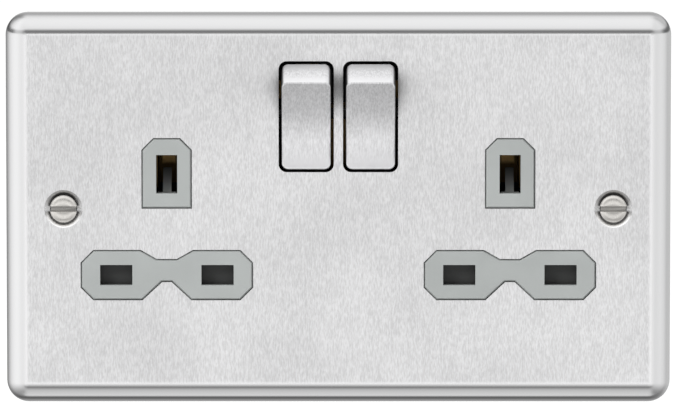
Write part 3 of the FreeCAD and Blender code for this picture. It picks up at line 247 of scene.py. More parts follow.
def grain_group():
    """Streaks along Z, with finer and weaker ones among them, and slow clouds."""
    if "Brushed Grain" in bpy.data.node_groups:
        return bpy.data.node_groups["Brushed Grain"]
    sizes = [("Width", 0.4 * MM), ("Length", 4.5 * MM)]
    group, given, result = new_group("Brushed Grain", sizes, ["Streak", "Cloud"])
    spot = put(group, "ShaderNodeTexCoord").outputs["Object"]
    streaks = []
    for share in STREAK_SHARES:
        across = sums(group, "DIVIDE", 1 / share, given["Width"])
        along = sums(group, "DIVIDE", 1 / share, given["Length"])
        scale = put(group, "ShaderNodeCombineXYZ")
        join(group, (across, scale.inputs["X"]), (across, scale.inputs["Y"]), (along, scale.inputs["Z"]))
        stretched = put(group, "ShaderNodeVectorMath", operation="MULTIPLY")
        join(group, (spot, stretched.inputs[0]), (scale.outputs[0], stretched.inputs[1]))
        noise = put(group, "ShaderNodeTexNoise", Scale=1.0, Detail=3.0, Roughness=0.65)
        join(group, (stretched.outputs[0], noise.inputs["Vector"]))
        streaks.append(noise.outputs["Fac"])
    mixed = plus(group, times(group, streaks[0], WIDE_PART), times(group, streaks[1], 1 - WIDE_PART))
    cloud = put(group, "ShaderNodeTexNoise", Scale=45.0, Detail=2.0, Roughness=0.5)
    join(
        group,
        (spot, cloud.inputs["Vector"]),
        (mixed, result["Streak"]),
        (cloud.outputs["Fac"], result["Cloud"]),
    )
    return group


def edge_group():
    """A mask that is 1 on edges and 0 on flats, broken up by a fine noise. It lightens edges, partly as
    wear and partly as a painted highlight.
    """
    if "Worn Edge and Painted Highlight" in bpy.data.node_groups:
        return bpy.data.node_groups["Worn Edge and Painted Highlight"]
    group, given, result = new_group("Worn Edge and Painted Highlight", [("Width", 0.3 * MM), ("Scale", 900.0)], ["Edge"])
    rounded = put(group, "ShaderNodeBevel", samples=4)
    facing = put(group, "ShaderNodeNewGeometry").outputs["Normal"]
    match = put(group, "ShaderNodeVectorMath", operation="DOT_PRODUCT")
    join(
        group,
        (given["Width"], rounded.inputs["Radius"]),
        (rounded.outputs["Normal"], match.inputs[0]),
        (facing, match.inputs[1]),
    )
    bent = spread(group, match.outputs["Value"], 0.99, 0.8, 0.0, 1.0)
    noise = put(group, "ShaderNodeTexNoise", Detail=2.0)
    join(
        group,
        (put(group, "ShaderNodeTexCoord").outputs["Object"], noise.inputs["Vector"]),
        (given["Scale"], noise.inputs["Scale"]),
    )
    patchy = spread(group, noise.outputs["Fac"], 0.3, 0.6, 0.4, 1.0)
    join(group, (times(group, bent, patchy), result["Edge"]))
    return group


def speckle_group():
    """A fine even grain with slow patches, as on moulded plastic or plated metal."""
    if "Moulded Grain" in bpy.data.node_groups:
        return bpy.data.node_groups["Moulded Grain"]
    group, given, result = new_group("Moulded Grain", [("Scale", 4000.0)], ["Speck", "Patch"])
    spot = put(group, "ShaderNodeTexCoord").outputs["Object"]
    fine = put(group, "ShaderNodeTexNoise", Detail=3.0, Roughness=0.6)
    slow = put(group, "ShaderNodeTexNoise", Scale=90.0, Detail=2.0)
    join(
        group,
        (spot, fine.inputs["Vector"]),
        (given["Scale"], fine.inputs["Scale"]),
        (spot, slow.inputs["Vector"]),
        (fine.outputs["Fac"], result["Speck"]),
        (slow.outputs["Fac"], result["Patch"]),
    )
    return group


def use_group(tree, group, **settings):
    """Places a node group with its own values."""
    node = tree.nodes.new("ShaderNodeGroup")
    node.node_tree = group
    for name, value in settings.items():
        node.inputs[name].default_value = value
    return node.outputs


def new_material(name, metallic, specular=0.5):
    """A material with its shader."""
    material = bpy.data.materials.new(name)
    material.use_nodes = True
    shader = material.node_tree.nodes["Principled BSDF"]
    shader.inputs["Metallic"].default_value = metallic
    shader.inputs["Specular IOR Level"].default_value = specular
    return material, material.node_tree, shader.inputs


def raise_bump(tree, shader, height, strength, distance):
    """Gives a surface relief from a height."""
    bump = put(tree, "ShaderNodeBump", Strength=strength, Distance=distance)
    join(tree, (height, bump.inputs["Height"]), (bump.outputs["Normal"], shader["Normal"]))


def dress(material, *names):
    """Gives CAD nodes a material."""
    for name in names:
        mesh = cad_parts[name].data
        mesh.materials.clear()
        mesh.materials.append(material)


def both(*stems):
    """The left and right node of each stem."""
    return [f"{stem}_{side}" for stem in stems for side in SIDES]


# Materials


# Noise runs over its full span between these values
NOISE_SPAN = (0.3, 0.7)

# Brushed metal: how one-sided its shine is, its roughness from cloud to cloud, what a streak adds,
# and the rim's roughness
BRUSHING = 0.93
SATIN = (0.48, 0.52)
STREAK_DULLNESS = 0.06
RIM_ROUGHNESS = 0.16
# Near-black painted shade on the plate's cut walls and the caps' sides
PAINTED_SHADE_SIDES = (0.02, 0.02, 0.02)

# The plate: the rim's border, before and after its width, and a dimple's edge from its screw's axis
RIM_FADE = (0.9 * MM, 0.2 * MM)
DIMPLE_EDGE = (4.0 * MM, 4.3 * MM)
# Heights between which a dimple changes: a painted highlight below, painted shade above, polished below and
# duller above
DIMPLE_LOWER = (-2.6 * MM, -0.8 * MM)
DIMPLE_UPPER = (0.8 * MM, 2.4 * MM)
DIMPLE_POLISH = (-0.5 * MM, 1.5 * MM)
DIMPLE_ROUGHNESS = (0.24, 0.36)
# How far painted shade reaches from what stands out of the plate
PAINTED_SHADE_REACH = 4.0 * MM

# The rocker caps: heights of the ridge, the shoulder and the facet's top, with a painted highlight from
# ridge to shoulder and painted shade above, and the lower end's painted highlight
CAP_RIDGE, CAP_SHOULDER, CAP_TOP = 28.3 * MM, 30.0 * MM, 31.8 * MM
CAP_LOWER_END = (9.0 * MM, 13.5 * MM)
CAP_PAINTED_HIGHLIGHT = 1.17

# The fixing screws: the edge of the head, beyond which painted shade makes a dark ring, half the slot's
# width, and how far the slot's painted shade fades in
HEAD_EDGE = (2.98 * MM, 3.04 * MM)
SLOT_SIDE = (0.5 * MM, 0.6 * MM)
SLOT_FADE = 0.2 * MM

# The earth brass is darkened as painted deep shade, and keeps a brightened colour as a painted lit glimpse
# only above this height and this near the middle of an outlet
GLIMPSE_HEIGHT = (7.6 * MM, 8.8 * MM)
GLIMPSE_WIDTH = (1.2 * MM, 1.7 * MM)

# The guards: heights between which the tongue's lighter colour fades out upwards, and below which the bar
# keeps its own colour
TONGUE_FADE = (1.0 * MM, 11.0 * MM)
BAR_TOP = (-10.0 * MM, -8.0 * MM)


def from_screw(tree, spot):
    """How far a point is from the axis of the nearer fixing screw."""
    beside = minus(tree, sums(tree, "ABSOLUTE", spot["X"]), centre("fixing_screw_right").x)
    return sums(tree, "SQRT", plus(tree, times(tree, beside, beside), times(tree, spot["Z"], spot["Z"])))


def plate_zones(tree, spot, rim_width):
    """Masks of the plate's flat face, its rounded rim and the dimples round its screws."""
    inset = sums(
        tree,
        "MINIMUM",
        minus(tree, PLATE_HIGH.x, sums(tree, "ABSOLUTE", spot["X"])),
        minus(tree, PLATE_HIGH.z, sums(tree, "ABSOLUTE", spot["Z"])),
    )
    inner = spread(tree, inset, rim_width - RIM_FADE[0], rim_width + RIM_FADE[1], 0.0, 1.0)
    dimple = spread(tree, from_screw(tree, spot), *DIMPLE_EDGE, 1.0, 0.0)
    return times(tree, inner, minus(tree, 1.0, dimple)), minus(tree, 1.0, inner), dimple


def brushed_metal(name, colour, finish, plate=False):
    """Satin metal brushed up and down, which spreads light sideways, for the plate or a rocker's cap."""
    material, tree, shader = new_material(name, 1.0)
    shader["Anisotropic"].default_value = BRUSHING
    across = put(tree, "ShaderNodeCombineXYZ", X=1.0)
    join(tree, (across.outputs[0], shader["Tangent"]))
    grain = use_group(tree, grain_group(), Width=finish.grain_width, Length=finish.grain_length)
    edge = use_group(tree, edge_group(), Width=0.15 * MM, Scale=1200.0)["Edge"]
    streak = spread(tree, grain["Streak"], 0.34, 0.66, 0.0, 1.0)
    satin = spread(tree, grain["Cloud"], *NOISE_SPAN, *SATIN)
    rough = plus(tree, satin, times(tree, streak, STREAK_DULLNESS))
    spot, normal = place(tree), place(tree, "Normal")
    if plate:
        flat, rim, dimple = plate_zones(tree, spot, finish.rim_width)
        streak = plus(tree, times(tree, minus(tree, streak, 0.5), flat), 0.5)
        rough = plus(tree, times(tree, rough, flat), times(tree, rim, RIM_ROUGHNESS))
        polish = spread(tree, spot["Z"], *DIMPLE_POLISH, *DIMPLE_ROUGHNESS)
        rough = plus(tree, rough, times(tree, dimple, polish))
        body = tint(tree, streak, shade(colour, 0.82), shade(colour, 1.15))
        # The polished rim gets a darker copy of the plate's colour: painted shade that evens its brighter
        # reflection with the rough flat
        body = cover(tree, body, rim, shade(colour, 0.745))
        body = cover(tree, body, dimple, shade(colour, 0.9))
        # Painted highlight on the dimple's lower half and painted shade on its upper half
        lower = spread(tree, spot["Z"], *DIMPLE_LOWER, 1.0, 0.0)
        body = cover(tree, body, times(tree, dimple, lower), shade(colour, 1.22))
        upper = spread(tree, spot["Z"], *DIMPLE_UPPER, 0.0, 1.0)
        body = cover(tree, body, times(tree, dimple, upper), shade(colour, 0.75))
        # Painted shade from ambient occlusion darkens the flat round the rockers and between them
        exposed = put(tree, "ShaderNodeAmbientOcclusion", samples=6, Distance=PAINTED_SHADE_REACH)
        painted_crevice_shade = times(tree, spread(tree, exposed.outputs["AO"], 0.5, 1.0, 0.95, 0.0), flat)
        body = cover(tree, body, painted_crevice_shade, shade(colour, 0.2))
        facing = spread(tree, sums(tree, "ABSOLUTE", normal["Y"]), 0.35, 0.8, 1.0, 0.0)
        painted_dark_sides = times(tree, facing, flat)
    else:
        body = tint(tree, streak, shade(colour, 0.82), shade(colour, 1.15))
        # Painted highlight below the facet's shoulder and on the lower end, and painted shade on the
        # facet's top
        facet = spread(tree, normal["Z"], 0.4, 0.55, 0.0, 1.0)
        ridge = times(tree, facet, spread(tree, spot["Z"], CAP_RIDGE, CAP_SHOULDER, 1.0, 0.0))
        body = cover(tree, body, ridge, shade(colour, CAP_PAINTED_HIGHLIGHT))
        top = times(tree, facet, spread(tree, spot["Z"], CAP_SHOULDER, CAP_TOP, 0.0, 1.0))
        body = cover(tree, body, top, shade(colour, 0.72))
        painted_low_highlight = spread(tree, spot["Z"], *CAP_LOWER_END, 1.0, 0.0)
        body = cover(tree, body, painted_low_highlight, shade(colour, CAP_PAINTED_HIGHLIGHT))
        painted_dark_sides = spread(tree, sums(tree, "ABSOLUTE", normal["X"]), 0.55, 0.92, 0.0, 1.0)
    # Lighter edges, partly wear and partly a painted highlight
    body = cover(tree, body, times(tree, edge, 0.4), shade(colour, 1.12))
    # Painted shade: the plate's cut walls and the caps' sides go near black
    body = cover(tree, body, painted_dark_sides, PAINTED_SHADE_SIDES)
    join(tree, (body, shader["Base Color"]), (rough, shader["Roughness"]))
    raise_bump(tree, shader, streak, 0.35, 0.004 * MM)
    return material


def moulded_plastic(name, colour, rough, edge_share=1.25, speck_scale=5000.0, relief=0.25, tongue=None):
    """Moulded plastic with a fine grain and lighter edges, partly wear and partly a painted highlight. A
    guard's tongue is lighter towards its lower end.
    """
    material, tree, shader = new_material(name, 0.0, 0.25 if tongue else 0.5)
    speck = use_group(tree, speckle_group(), Scale=speck_scale)
    edge = use_group(tree, edge_group(), Width=0.2 * MM, Scale=700.0)["Edge"]
    patch = spread(tree, speck["Patch"], *NOISE_SPAN, 0.0, 1.0)
    body = tint(tree, patch, shade(colour, 0.96), shade(colour, 1.04))
    if tongue:
        height = place(tree)["Z"]
        body = cover(tree, body, spread(tree, height, *TONGUE_FADE, 0.85, 0.0), tongue)
        body = cover(tree, body, spread(tree, height, *BAR_TOP, 1.0, 0.0), colour)
    # Lighter edges, partly wear and partly a painted highlight
    body = cover(tree, body, edge, shade(colour, edge_share))
    join(
        tree,
        (body, shader["Base Color"]),
        (spread(tree, speck["Speck"], *NOISE_SPAN, rough - 0.05, rough + 0.05), shader["Roughness"]),
    )
    raise_bump(tree, shader, speck["Speck"], relief, 0.01 * MM)
    return material


def sheet_metal(
    name, colour, rough, stain,
    grain_width=0.25 * MM, grain_length=3.0 * MM, slot_floor=None, painted_deep_shade=False,
):
    """Rolled or plated metal with faint marks, patches of stain and brighter edges, partly wear and partly
    a painted highlight.
    """
    material, tree, shader = new_material(name, 1.0)
    grain = use_group(tree, grain_group(), Width=grain_width, Length=grain_length)
    speck = use_group(tree, speckle_group(), Scale=2500.0)
    edge = use_group(tree, edge_group(), Width=0.2 * MM, Scale=1500.0)["Edge"]
    spot = place(tree)
    body = tint(tree, spread(tree, speck["Patch"], 0.35, 0.65, 0.0, 1.0), colour, stain)
    # Brighter edges, partly wear and partly a painted highlight
    body = cover(tree, body, times(tree, edge, 0.7), shade(colour, 1.2))
    if slot_floor:
        # Painted shade: a dark ring round the head and a darker slot
        outside = spread(tree, from_screw(tree, spot), *HEAD_EDGE, 0.0, 1.0)
        body = cover(tree, body, outside, shade(colour, 0.15))
        inside = spread(tree, sums(tree, "ABSOLUTE", spot["Z"]), *SLOT_SIDE, 1.0, 0.0)
        deep = spread(tree, spot["Y"], slot_floor, slot_floor + SLOT_FADE, 0.0, 1.0)
        body = cover(tree, body, times(tree, inside, deep), shade(colour, 0.45))
    if painted_deep_shade:
        # Painted deep shade darkens the brass and dims its reflections, except for a painted lit glimpse
        shader["Specular Tint"].default_value = (0.3, 0.22, 0.15, 1)
        aside = minus(tree, sums(tree, "ABSOLUTE", spot["X"]), centre("insert_right").x)
        near = spread(tree, sums(tree, "ABSOLUTE", aside), *GLIMPSE_WIDTH, 1.0, 0.0)
        painted_lit_glimpse = times(tree, spread(tree, spot["Z"], *GLIMPSE_HEIGHT, 0.0, 1.0), near)
        body = cover(tree, body, minus(tree, 1.0, painted_lit_glimpse), shade(colour, 0.16))
    marks = plus(tree, times(tree, grain["Streak"], 0.7), times(tree, speck["Speck"], 0.3))
    join(
        tree,
        (body, shader["Base Color"]),
        (spread(tree, marks, *NOISE_SPAN, rough - 0.06, rough + 0.08), shader["Roughness"]),
    )
    raise_bump(tree, shader, marks, 0.3, 0.006 * MM)
    return material


# Turned screws and wound springs


CHEESE_SCREWS = ("assembly_screws", "bonding_screws", "terminal_screws")
TERMINALS = ("earth_left", "line", "neutral", "earth_right")

# The fixing screws' thread, outside and at its root, and the height of the bow on the head
FIXING_CREST, FIXING_ROOT, HEAD_BOW = 1.75 * MM, 1.45 * MM, 0.62 * MM
CHEESE_HEAD = 2.75 * MM
SAW_WIDTH = 1.15 * MM
# Corners nearer than this are one corner
SAME_PLACE = 0.002 * MM
# Edges of a head sharper than the first angle are broken, and edges flatter than the second look smooth
SHARP, SMOOTH = math.radians(50), math.radians(35)

SHUTTER_TURNS = 8
SHUTTER_WIRE = 0.35 * MM
PLUNGER_TURNS = 9
PLUNGER_WIRE = 0.3 * MM


def centre(name):
    """The middle of a CAD node's box."""
    low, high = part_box(name)
    return (low + high) / 2


def countersunk_screw(length, radius):
    """Radius and depth from the top of the head, for a raised head on a cone.

    Also the depths of the slot and of the thread's start and end.
    """
    rim, shank = radius - 0.2 * MM, 1.05 * MM
    outline = [(0.0, 0.0)]
    for step in range(1, 7):
        bow = math.radians(15 * step)
        outline.append((rim * (0.6 + 0.4 * math.sin(bow)), HEAD_BOW * (1 - math.cos(bow))))
    outline += [(rim, shank), (FIXING_CREST, shank + rim - FIXING_CREST)]
    outline += [(FIXING_CREST, 3.4 * MM), (FIXING_ROOT, 3.7 * MM)]
    outline += [(FIXING_ROOT, length - 0.5 * MM), (0.95 * MM, length), (0.0, length)]
    return outline, 1.2 * MM, 3.9 * MM, length - 0.7 * MM


def cheese_screw(length, radius, thickness):
    """The same for a round head with upright sides."""
    wide, root = CHEESE_HEAD, radius - 0.3 * MM
    outline = [(0.0, 0.0), (wide - 0.35 * MM, 0.03 * MM), (wide - 0.1 * MM, 0.1 * MM), (wide, 0.35 * MM)]
    outline += [(wide, thickness), (radius, thickness), (radius, thickness + 0.8 * MM)]
    outline += [(root, thickness + 1.1 * MM)]
    outline += [(root, length - 0.4 * MM), (root - 0.3 * MM, length), (0.0, length)]
    return outline, 0.5 * thickness, thickness + 1.3 * MM, length - 0.5 * MM


def spin_outline(shape, outline, steps=40):
    """Turns an outline of radius and depth about the screw's axis."""
    corners = [shape.verts.new((radius, depth, 0.0)) for radius, depth in outline]
    sides = [shape.edges.new(pair) for pair in zip(corners, corners[1:])]
    bmesh.ops.spin(
        shape, geom=corners + sides, cent=(0, 0, 0), axis=(0, 1, 0), dvec=(0, 0, 0),
        angle=2 * math.pi, steps=steps, use_merge=True,
    )
    bmesh.ops.remove_doubles(shape, verts=shape.verts, dist=SAME_PLACE)


def saw_slot(shape, width, depth):
    """Cuts a slot across the head and closes its walls and floor."""
    wall, floor = Vector((0, 0, 1)), Vector((0, 1, 0))
    for middle, facing in ((wall * width / 2, wall), (-wall * width / 2, wall), (floor * depth, floor)):
        geom = list(shape.verts) + list(shape.edges) + list(shape.faces)
        bmesh.ops.bisect_plane(shape, geom=geom, dist=1e-7, plane_co=middle, plane_no=facing)
    waste = []
    for face in shape.faces:
        middle = face.calc_center_median()
        if abs(middle.z) < width / 2 and middle.y < depth:
            waste.append(face)
    bmesh.ops.delete(shape, geom=waste, context="FACES")
    rim = [side for side in shape.edges if side.is_boundary]
    walls = bmesh.ops.extrude_edge_only(shape, edges=rim)["geom"]
    for corner in walls:
        if isinstance(corner, bmesh.types.BMVert):
            corner.co.y = depth
    bmesh.ops.remove_doubles(shape, verts=shape.verts, dist=SAME_PLACE)
    bmesh.ops.holes_fill(shape, edges=[side for side in shape.edges if side.is_boundary], sides=0)
    bmesh.ops.recalc_face_normals(shape, faces=shape.faces)


def break_edges(shape, limit, width):
    """Takes the sharpness off the edges of a head."""
    sharp = []
    for side in shape.edges:
        if len(side.link_faces) == 2 and side.calc_face_angle() > SHARP:
            if all(corner.co.y < limit for corner in side.verts):
                sharp.append(side)
    bmesh.ops.bevel(
        shape, geom=sharp, offset=width, offset_type="OFFSET", segments=2, profile=0.5,
        affect="EDGES", clamp_overlap=True, material=-1,
    )


def wind_thread(shape, root, crest, pitch, start, end, steps=20):
    """Winds a ridge round the shank between two depths. Its feet are sunk a little into the shank."""
    turns = int((end - start) / pitch)
    foot = root - 0.06 * MM
    section = ((foot, -0.32), (crest, -0.06), (crest, 0.06), (foot, 0.32))
    corners = [shape.verts.new((radius, start + share * pitch, 0.0)) for radius, share in section]
    sides = [shape.edges.new((corners[n - 1], corners[n])) for n in range(len(corners))]
    bmesh.ops.spin(
        shape, geom=corners + sides, cent=(0, 0, 0), axis=(0, 1, 0), dvec=(0, pitch / steps, 0),
        angle=2 * math.pi * turns, steps=steps * turns, use_merge=False,
    )
    bmesh.ops.holes_fill(shape, edges=[side for side in shape.edges if side.is_boundary], sides=0)


def turn_screws(name, cut, thread, spots, material, facing_back=False):
    """Makes the screws of one CAD node, with their heads in front unless they face the back."""
    outline, slot_depth, thread_start, thread_end = cut
    screw = bmesh.new()
    spin_outline(screw, outline)
    saw_slot(screw, SAW_WIDTH, slot_depth)
    break_edges(screw, thread_start, 0.05 * MM)
    wind_thread(screw, *thread, thread_start, thread_end)
    bmesh.ops.recalc_face_normals(screw, faces=screw.faces)
    if facing_back:
        length = max(corner.co.y for corner in screw.verts)
        about = Matrix.Rotation(math.pi, 3, "Z")
        bmesh.ops.rotate(screw, verts=screw.verts, cent=(0, 0, 0), matrix=about)
        bmesh.ops.translate(screw, verts=screw.verts, vec=(0, length, 0))
    for face in screw.faces:
        face.smooth = True
    for side in screw.edges:
        side.smooth = len(side.link_faces) == 2 and side.calc_face_angle() < SMOOTH
    pattern = bpy.data.meshes.new("Screw pattern")
    screw.to_mesh(pattern)
    screw.free()
    shape = bmesh.new()
    for spot in spots:
        before = len(shape.verts)
        shape.from_mesh(pattern)
        shape.verts.ensure_lookup_table()
        bmesh.ops.translate(shape, verts=shape.verts[before:], vec=spot)
    bpy.data.meshes.remove(pattern)
    piece = new_piece(f"{name}_turned", shape, material)
    stand_in(piece, name, "socket")


def wind_spring(outer, wire, length, turns):
    """A coil spring along Z from the origin. Its first and last half turns lie flat."""
    shape = bmesh.new()
    start = Matrix.Translation((outer - wire / 2, 0, wire / 2))
    upright = start @ Matrix.Rotation(math.pi / 2, 4, "X")
    bmesh.ops.create_circle(shape, cap_ends=False, segments=8, radius=wire / 2, matrix=upright)
    section = list(shape.verts) + list(shape.edges)
    halves, steps = 2 * turns, 10
    rise = (length - wire) / (halves - 2)
    for half in range(halves):
        lift = rise / steps if 0 < half < halves - 1 else 0.0
        turned = bmesh.ops.spin(
            shape, geom=section, cent=(0, 0, 0), axis=(0, 0, 1), dvec=(0, 0, lift),
            angle=math.pi, steps=steps, use_merge=False,
        )
        section = turned["geom_last"]
    bmesh.ops.holes_fill(shape, edges=[side for side in shape.edges if side.is_boundary], sides=0)
    bmesh.ops.recalc_face_normals(shape, faces=shape.faces)
    for face in shape.faces:
        face.smooth = len(face.verts) == 4
    return shape


def new_piece(name, shape, material):
    """An object at the origin from a finished shape."""
    mesh = bpy.data.meshes.new(name)
    shape.to_mesh(mesh)
    shape.free()
    mesh.materials.append(material)
    piece = bpy.data.objects.new(name, mesh)
    bpy.context.scene.collection.objects.link(piece)
    return piece


def stand_in(piece, node, body):
    """Shows a piece on a body in place of a CAD node."""
    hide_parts(node)
    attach(piece, body)


# Operators


class SocketOperator:
    """What the socket's operators share."""

    bl_options = {"REGISTER", "UNDO"}


class SOCKET_OT_plate(SocketOperator, bpy.types.Operator):
    """Brush the plate up and down and smooth its rim"""

    bl_idname = "socket.plate"
    bl_label = "Plate"

    def execute(self, context):
        finish = context.scene.socket_finish
        dress(brushed_metal("Brushed plate", finish.plate_colour, finish, plate=True), "faceplate")
        return {"FINISHED"}


class SOCKET_OT_rockers(SocketOperator, bpy.types.Operator):
    """Give the rockers brushed caps on black bodies"""

    bl_idname = "socket.rockers"
    bl_label = "Rockers"

    def execute(self, context):
        finish = context.scene.socket_finish
        dress(brushed_metal("Brushed caps", finish.rocker_colour, finish), *both("rocker_cap"))
        plastic = moulded_plastic("Rocker plastic", finish.case_colour, 0.4)
        dress(plastic, *both("rocker_body", "rocker_plunger"))
        return {"FINISHED"}


class SOCKET_OT_inserts(SocketOperator, bpy.types.Operator):
    """Colour the two light grey mouldings"""

    bl_idname = "socket.inserts"
    bl_label = "Inserts"

    def execute(self, context):
        finish = context.scene.socket_finish
        dress(moulded_plastic("Grey plastic", finish.insert_colour, 0.38, 1.35), *both("insert"))
        return {"FINISHED"}


class SOCKET_OT_shutters(SocketOperator, bpy.types.Operator):
    """Colour the sliding guards behind the apertures"""

    bl_idname = "socket.shutters"
    bl_label = "Shutters"

    def execute(self, context):
        finish = context.scene.socket_finish
        tongue_colour = shade(finish.shutter_colour, 9.0)
        plastic = moulded_plastic("Guard plastic", finish.shutter_colour, 0.4, tongue=tongue_colour)
        dress(plastic, *both("shutter"))
        return {"FINISHED"}


class SOCKET_OT_housings(SocketOperator, bpy.types.Operator):
    """Colour the black front and rear mouldings"""

    bl_idname = "socket.housings"
    bl_label = "Housings"

    def execute(self, context):
        finish = context.scene.socket_finish
        plastic = moulded_plastic("Black plastic", finish.case_colour, 0.42, 1.9, 3000.0, 0.4)
        dress(plastic, "front_housing", "rear_housing")
        return {"FINISHED"}


class SOCKET_OT_conductors(SocketOperator, bpy.types.Operator):
    """Give the strips, clips, bars and terminals rolled brass"""

    bl_idname = "socket.conductors"
    bl_label = "Conductors"

    def execute(self, context):
        finish = context.scene.socket_finish
        brass = sheet_metal("Rolled brass", finish.brass_colour, 0.46, shade(finish.brass_colour, 0.72))
        dress(brass, "line_feed", "neutral_bar")
        dress(brass, *both("line_clip", "neutral_clip", "line_strip", "moving_contact"))
        # A brightened brass for the painted lit glimpse, darkened elsewhere as painted deep shade
        painted_lit_glimpse, stained = shade(finish.brass_colour, 1.7), shade(finish.brass_colour, 1.4)
        earth = sheet_metal("Earth brass", painted_lit_glimpse, 0.5, stained, painted_deep_shade=True)
        dress(earth, "earth_bar", *both("earth_clip"))
        stained = shade(finish.brass_colour, 0.85)
        block = sheet_metal("Cut brass", finish.brass_colour, 0.24, stained, 0.12 * MM, 6.0 * MM)
        dress(block, "terminal_line", "terminal_neutral", *both("terminal_earth"))
        return {"FINISHED"}


class SOCKET_OT_contacts(SocketOperator, bpy.types.Operator):
    """Give the switch contacts their silver tips"""

    bl_idname = "socket.contacts"
    bl_label = "Contact Tips"

    def execute(self, context):
        finish = context.scene.socket_finish
        stained = shade(finish.silver_colour, 0.7)
        silver = sheet_metal("Contact silver", finish.silver_colour, 0.28, stained)
        dress(silver, *both("moving_tip", "fixed_tip"))
        return {"FINISHED"}


class SOCKET_OT_fixing_screws(SocketOperator, bpy.types.Operator):
    """Turn the two raised countersunk screws that hold the plate to its wall box"""

    bl_idname = "socket.fixing_screws"
    bl_label = "Fixing Screws"

    def execute(self, context):
        finish = context.scene.socket_finish
        low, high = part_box("fixing_screw_left")
        slot_floor = low.y + 0.6 * MM
        stained = shade(finish.screw_colour, 0.9)
        plating = sheet_metal("Bright plating", finish.screw_colour, 0.3, stained, slot_floor=slot_floor)
        for name in both("fixing_screw"):
            low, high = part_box(name)
            spot = Vector(((low.x + high.x) / 2, low.y, (low.z + high.z) / 2))
            cut = countersunk_screw(high.y - low.y, (high.z - low.z) / 2)
            turn_screws(name, cut, (FIXING_ROOT, FIXING_CREST, 0.6 * MM), [spot], plating)
        return {"FINISHED"}


class SOCKET_OT_springs(SocketOperator, bpy.types.Operator):
    """Wind the springs of the guards and plungers"""

    bl_idname = "socket.springs"
    bl_label = "Springs"

    def execute(self, context):
        finish = context.scene.socket_finish
        steel = sheet_metal("Spring steel", finish.steel_colour, 0.3, shade(finish.steel_colour, 0.8))
        for side in SIDES:
            name = f"shutter_spring_{side}"
            low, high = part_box(name)
            length = high.z - low.z
            foot = Vector(((low.x + high.x) / 2, (low.y + high.y) / 2, low.z))
            coil = wind_spring((high.x - low.x) / 2, SHUTTER_WIRE, length, SHUTTER_TURNS)
            bmesh.ops.translate(coil, verts=coil.verts, vec=foot)
            piece = new_piece(f"{name}_coil", coil, steel)
            stand_in(piece, name, "socket")
            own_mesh(piece)
        lean = Matrix.Rotation(math.radians(-80), 3, "X")
        along = lean @ Vector((0, 0, 1))
        for side in SIDES:
            name = f"rocker_spring_{side}"
            low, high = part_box(name)
            outer = (high.x - low.x) / 2
            length = (high.y - low.y - 2 * outer * along.z) / along.y
            foot = (low + high) / 2 - along * length / 2
            coil = wind_spring(outer, PLUNGER_WIRE, length, PLUNGER_TURNS)
            bmesh.ops.rotate(coil, verts=coil.verts, cent=(0, 0, 0), matrix=lean)
            bmesh.ops.translate(coil, verts=coil.verts, vec=foot)
            piece = new_piece(f"{name}_coil", coil, steel)
            stand_in(piece, name, f"rocker_{side}")
            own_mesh(piece)
        return {"FINISHED"}


class SOCKET_OT_fasteners(SocketOperator, bpy.types.Operator):
    """Turn the inner screws and plate them and the plate's bosses"""

    bl_idname = "socket.fasteners"
    bl_label = "Screws and Bosses"

    def execute(self, context):
        finish = context.scene.socket_finish
        steel = sheet_metal("Zinc plating", finish.steel_colour, 0.34, shade(finish.steel_colour, 0.75))
        dress(steel, "plate_bosses")
        for name in CHEESE_SCREWS:
            low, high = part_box(name)
            length, middle = high.y - low.y, (low.z + high.z) / 2
            if name == "terminal_screws":
                spots = [Vector((centre(f"terminal_{end}").x, low.y, middle)) for end in TERMINALS]
                cut, thread = cheese_screw(length, 2.0 * MM, 2.2 * MM), (1.65 * MM, 2.0 * MM, 0.7 * MM)
            else:
                two_rows = high.z - low.z > 4 * CHEESE_HEAD
                rows = (low.z + CHEESE_HEAD, high.z - CHEESE_HEAD) if two_rows else (middle,)
                columns = (low.x + CHEESE_HEAD, high.x - CHEESE_HEAD)
                spots = [Vector((x, low.y, z)) for x in columns for z in rows]
                cut, thread = cheese_screw(length, 1.25 * MM, 2.0 * MM), (1.0 * MM, 1.25 * MM, 0.5 * MM)
            turn_screws(name, cut, thread, spots, steel, facing_back=True)
        return {"FINISHED"}


class SOCKET_OT_stage(SocketOperator, bpy.types.Operator):
    """Set the camera, the lights and a plain pale floor"""

    bl_idname = "socket.stage"
    bl_label = "Stage"

    def execute(self, context):
        stage = context.scene.socket_stage
        place_camera(context.scene, stage)
        light_world(context.scene)
        hang_lamp(context.scene, "Key lamp", KEY_PLACE, KEY_SIZE, stage.key_power)
        lay_floor(context.scene, stage)
        context.scene.view_settings.view_transform = "Standard"
        return {"FINISHED"}


# Stage


SENSOR_WIDTH = 36.0  # millimetres
CAMERA_SHIFT = (0.00235, 0.00607)
CAMERA_CLIP = (0.1, 20.0)
KEY_PLACE, KEY_SIZE = (-0.75, -0.9, 0.55), 0.3
FLOOR_REACH, FLOOR_GLOW = 3.0, 0.5


def place_camera(scene, stage):
    """Looks at the plate from just above its middle, through a long lens."""
    camera = bpy.data.objects.new("Camera", bpy.data.cameras.new("Camera"))
    scene.collection.objects.link(camera)
    across, up = math.cos(stage.camera_pitch), math.sin(stage.camera_pitch)
    camera.location = (0, -stage.camera_distance * across, stage.camera_distance * up)
    camera.rotation_euler = (math.pi / 2 - stage.camera_pitch, 0, 0)
    camera.data.sensor_width = SENSOR_WIDTH
    camera.data.lens = stage.camera_lens
    camera.data.shift_x, camera.data.shift_y = CAMERA_SHIFT
    camera.data.clip_start, camera.data.clip_end = CAMERA_CLIP
    scene.camera = camera


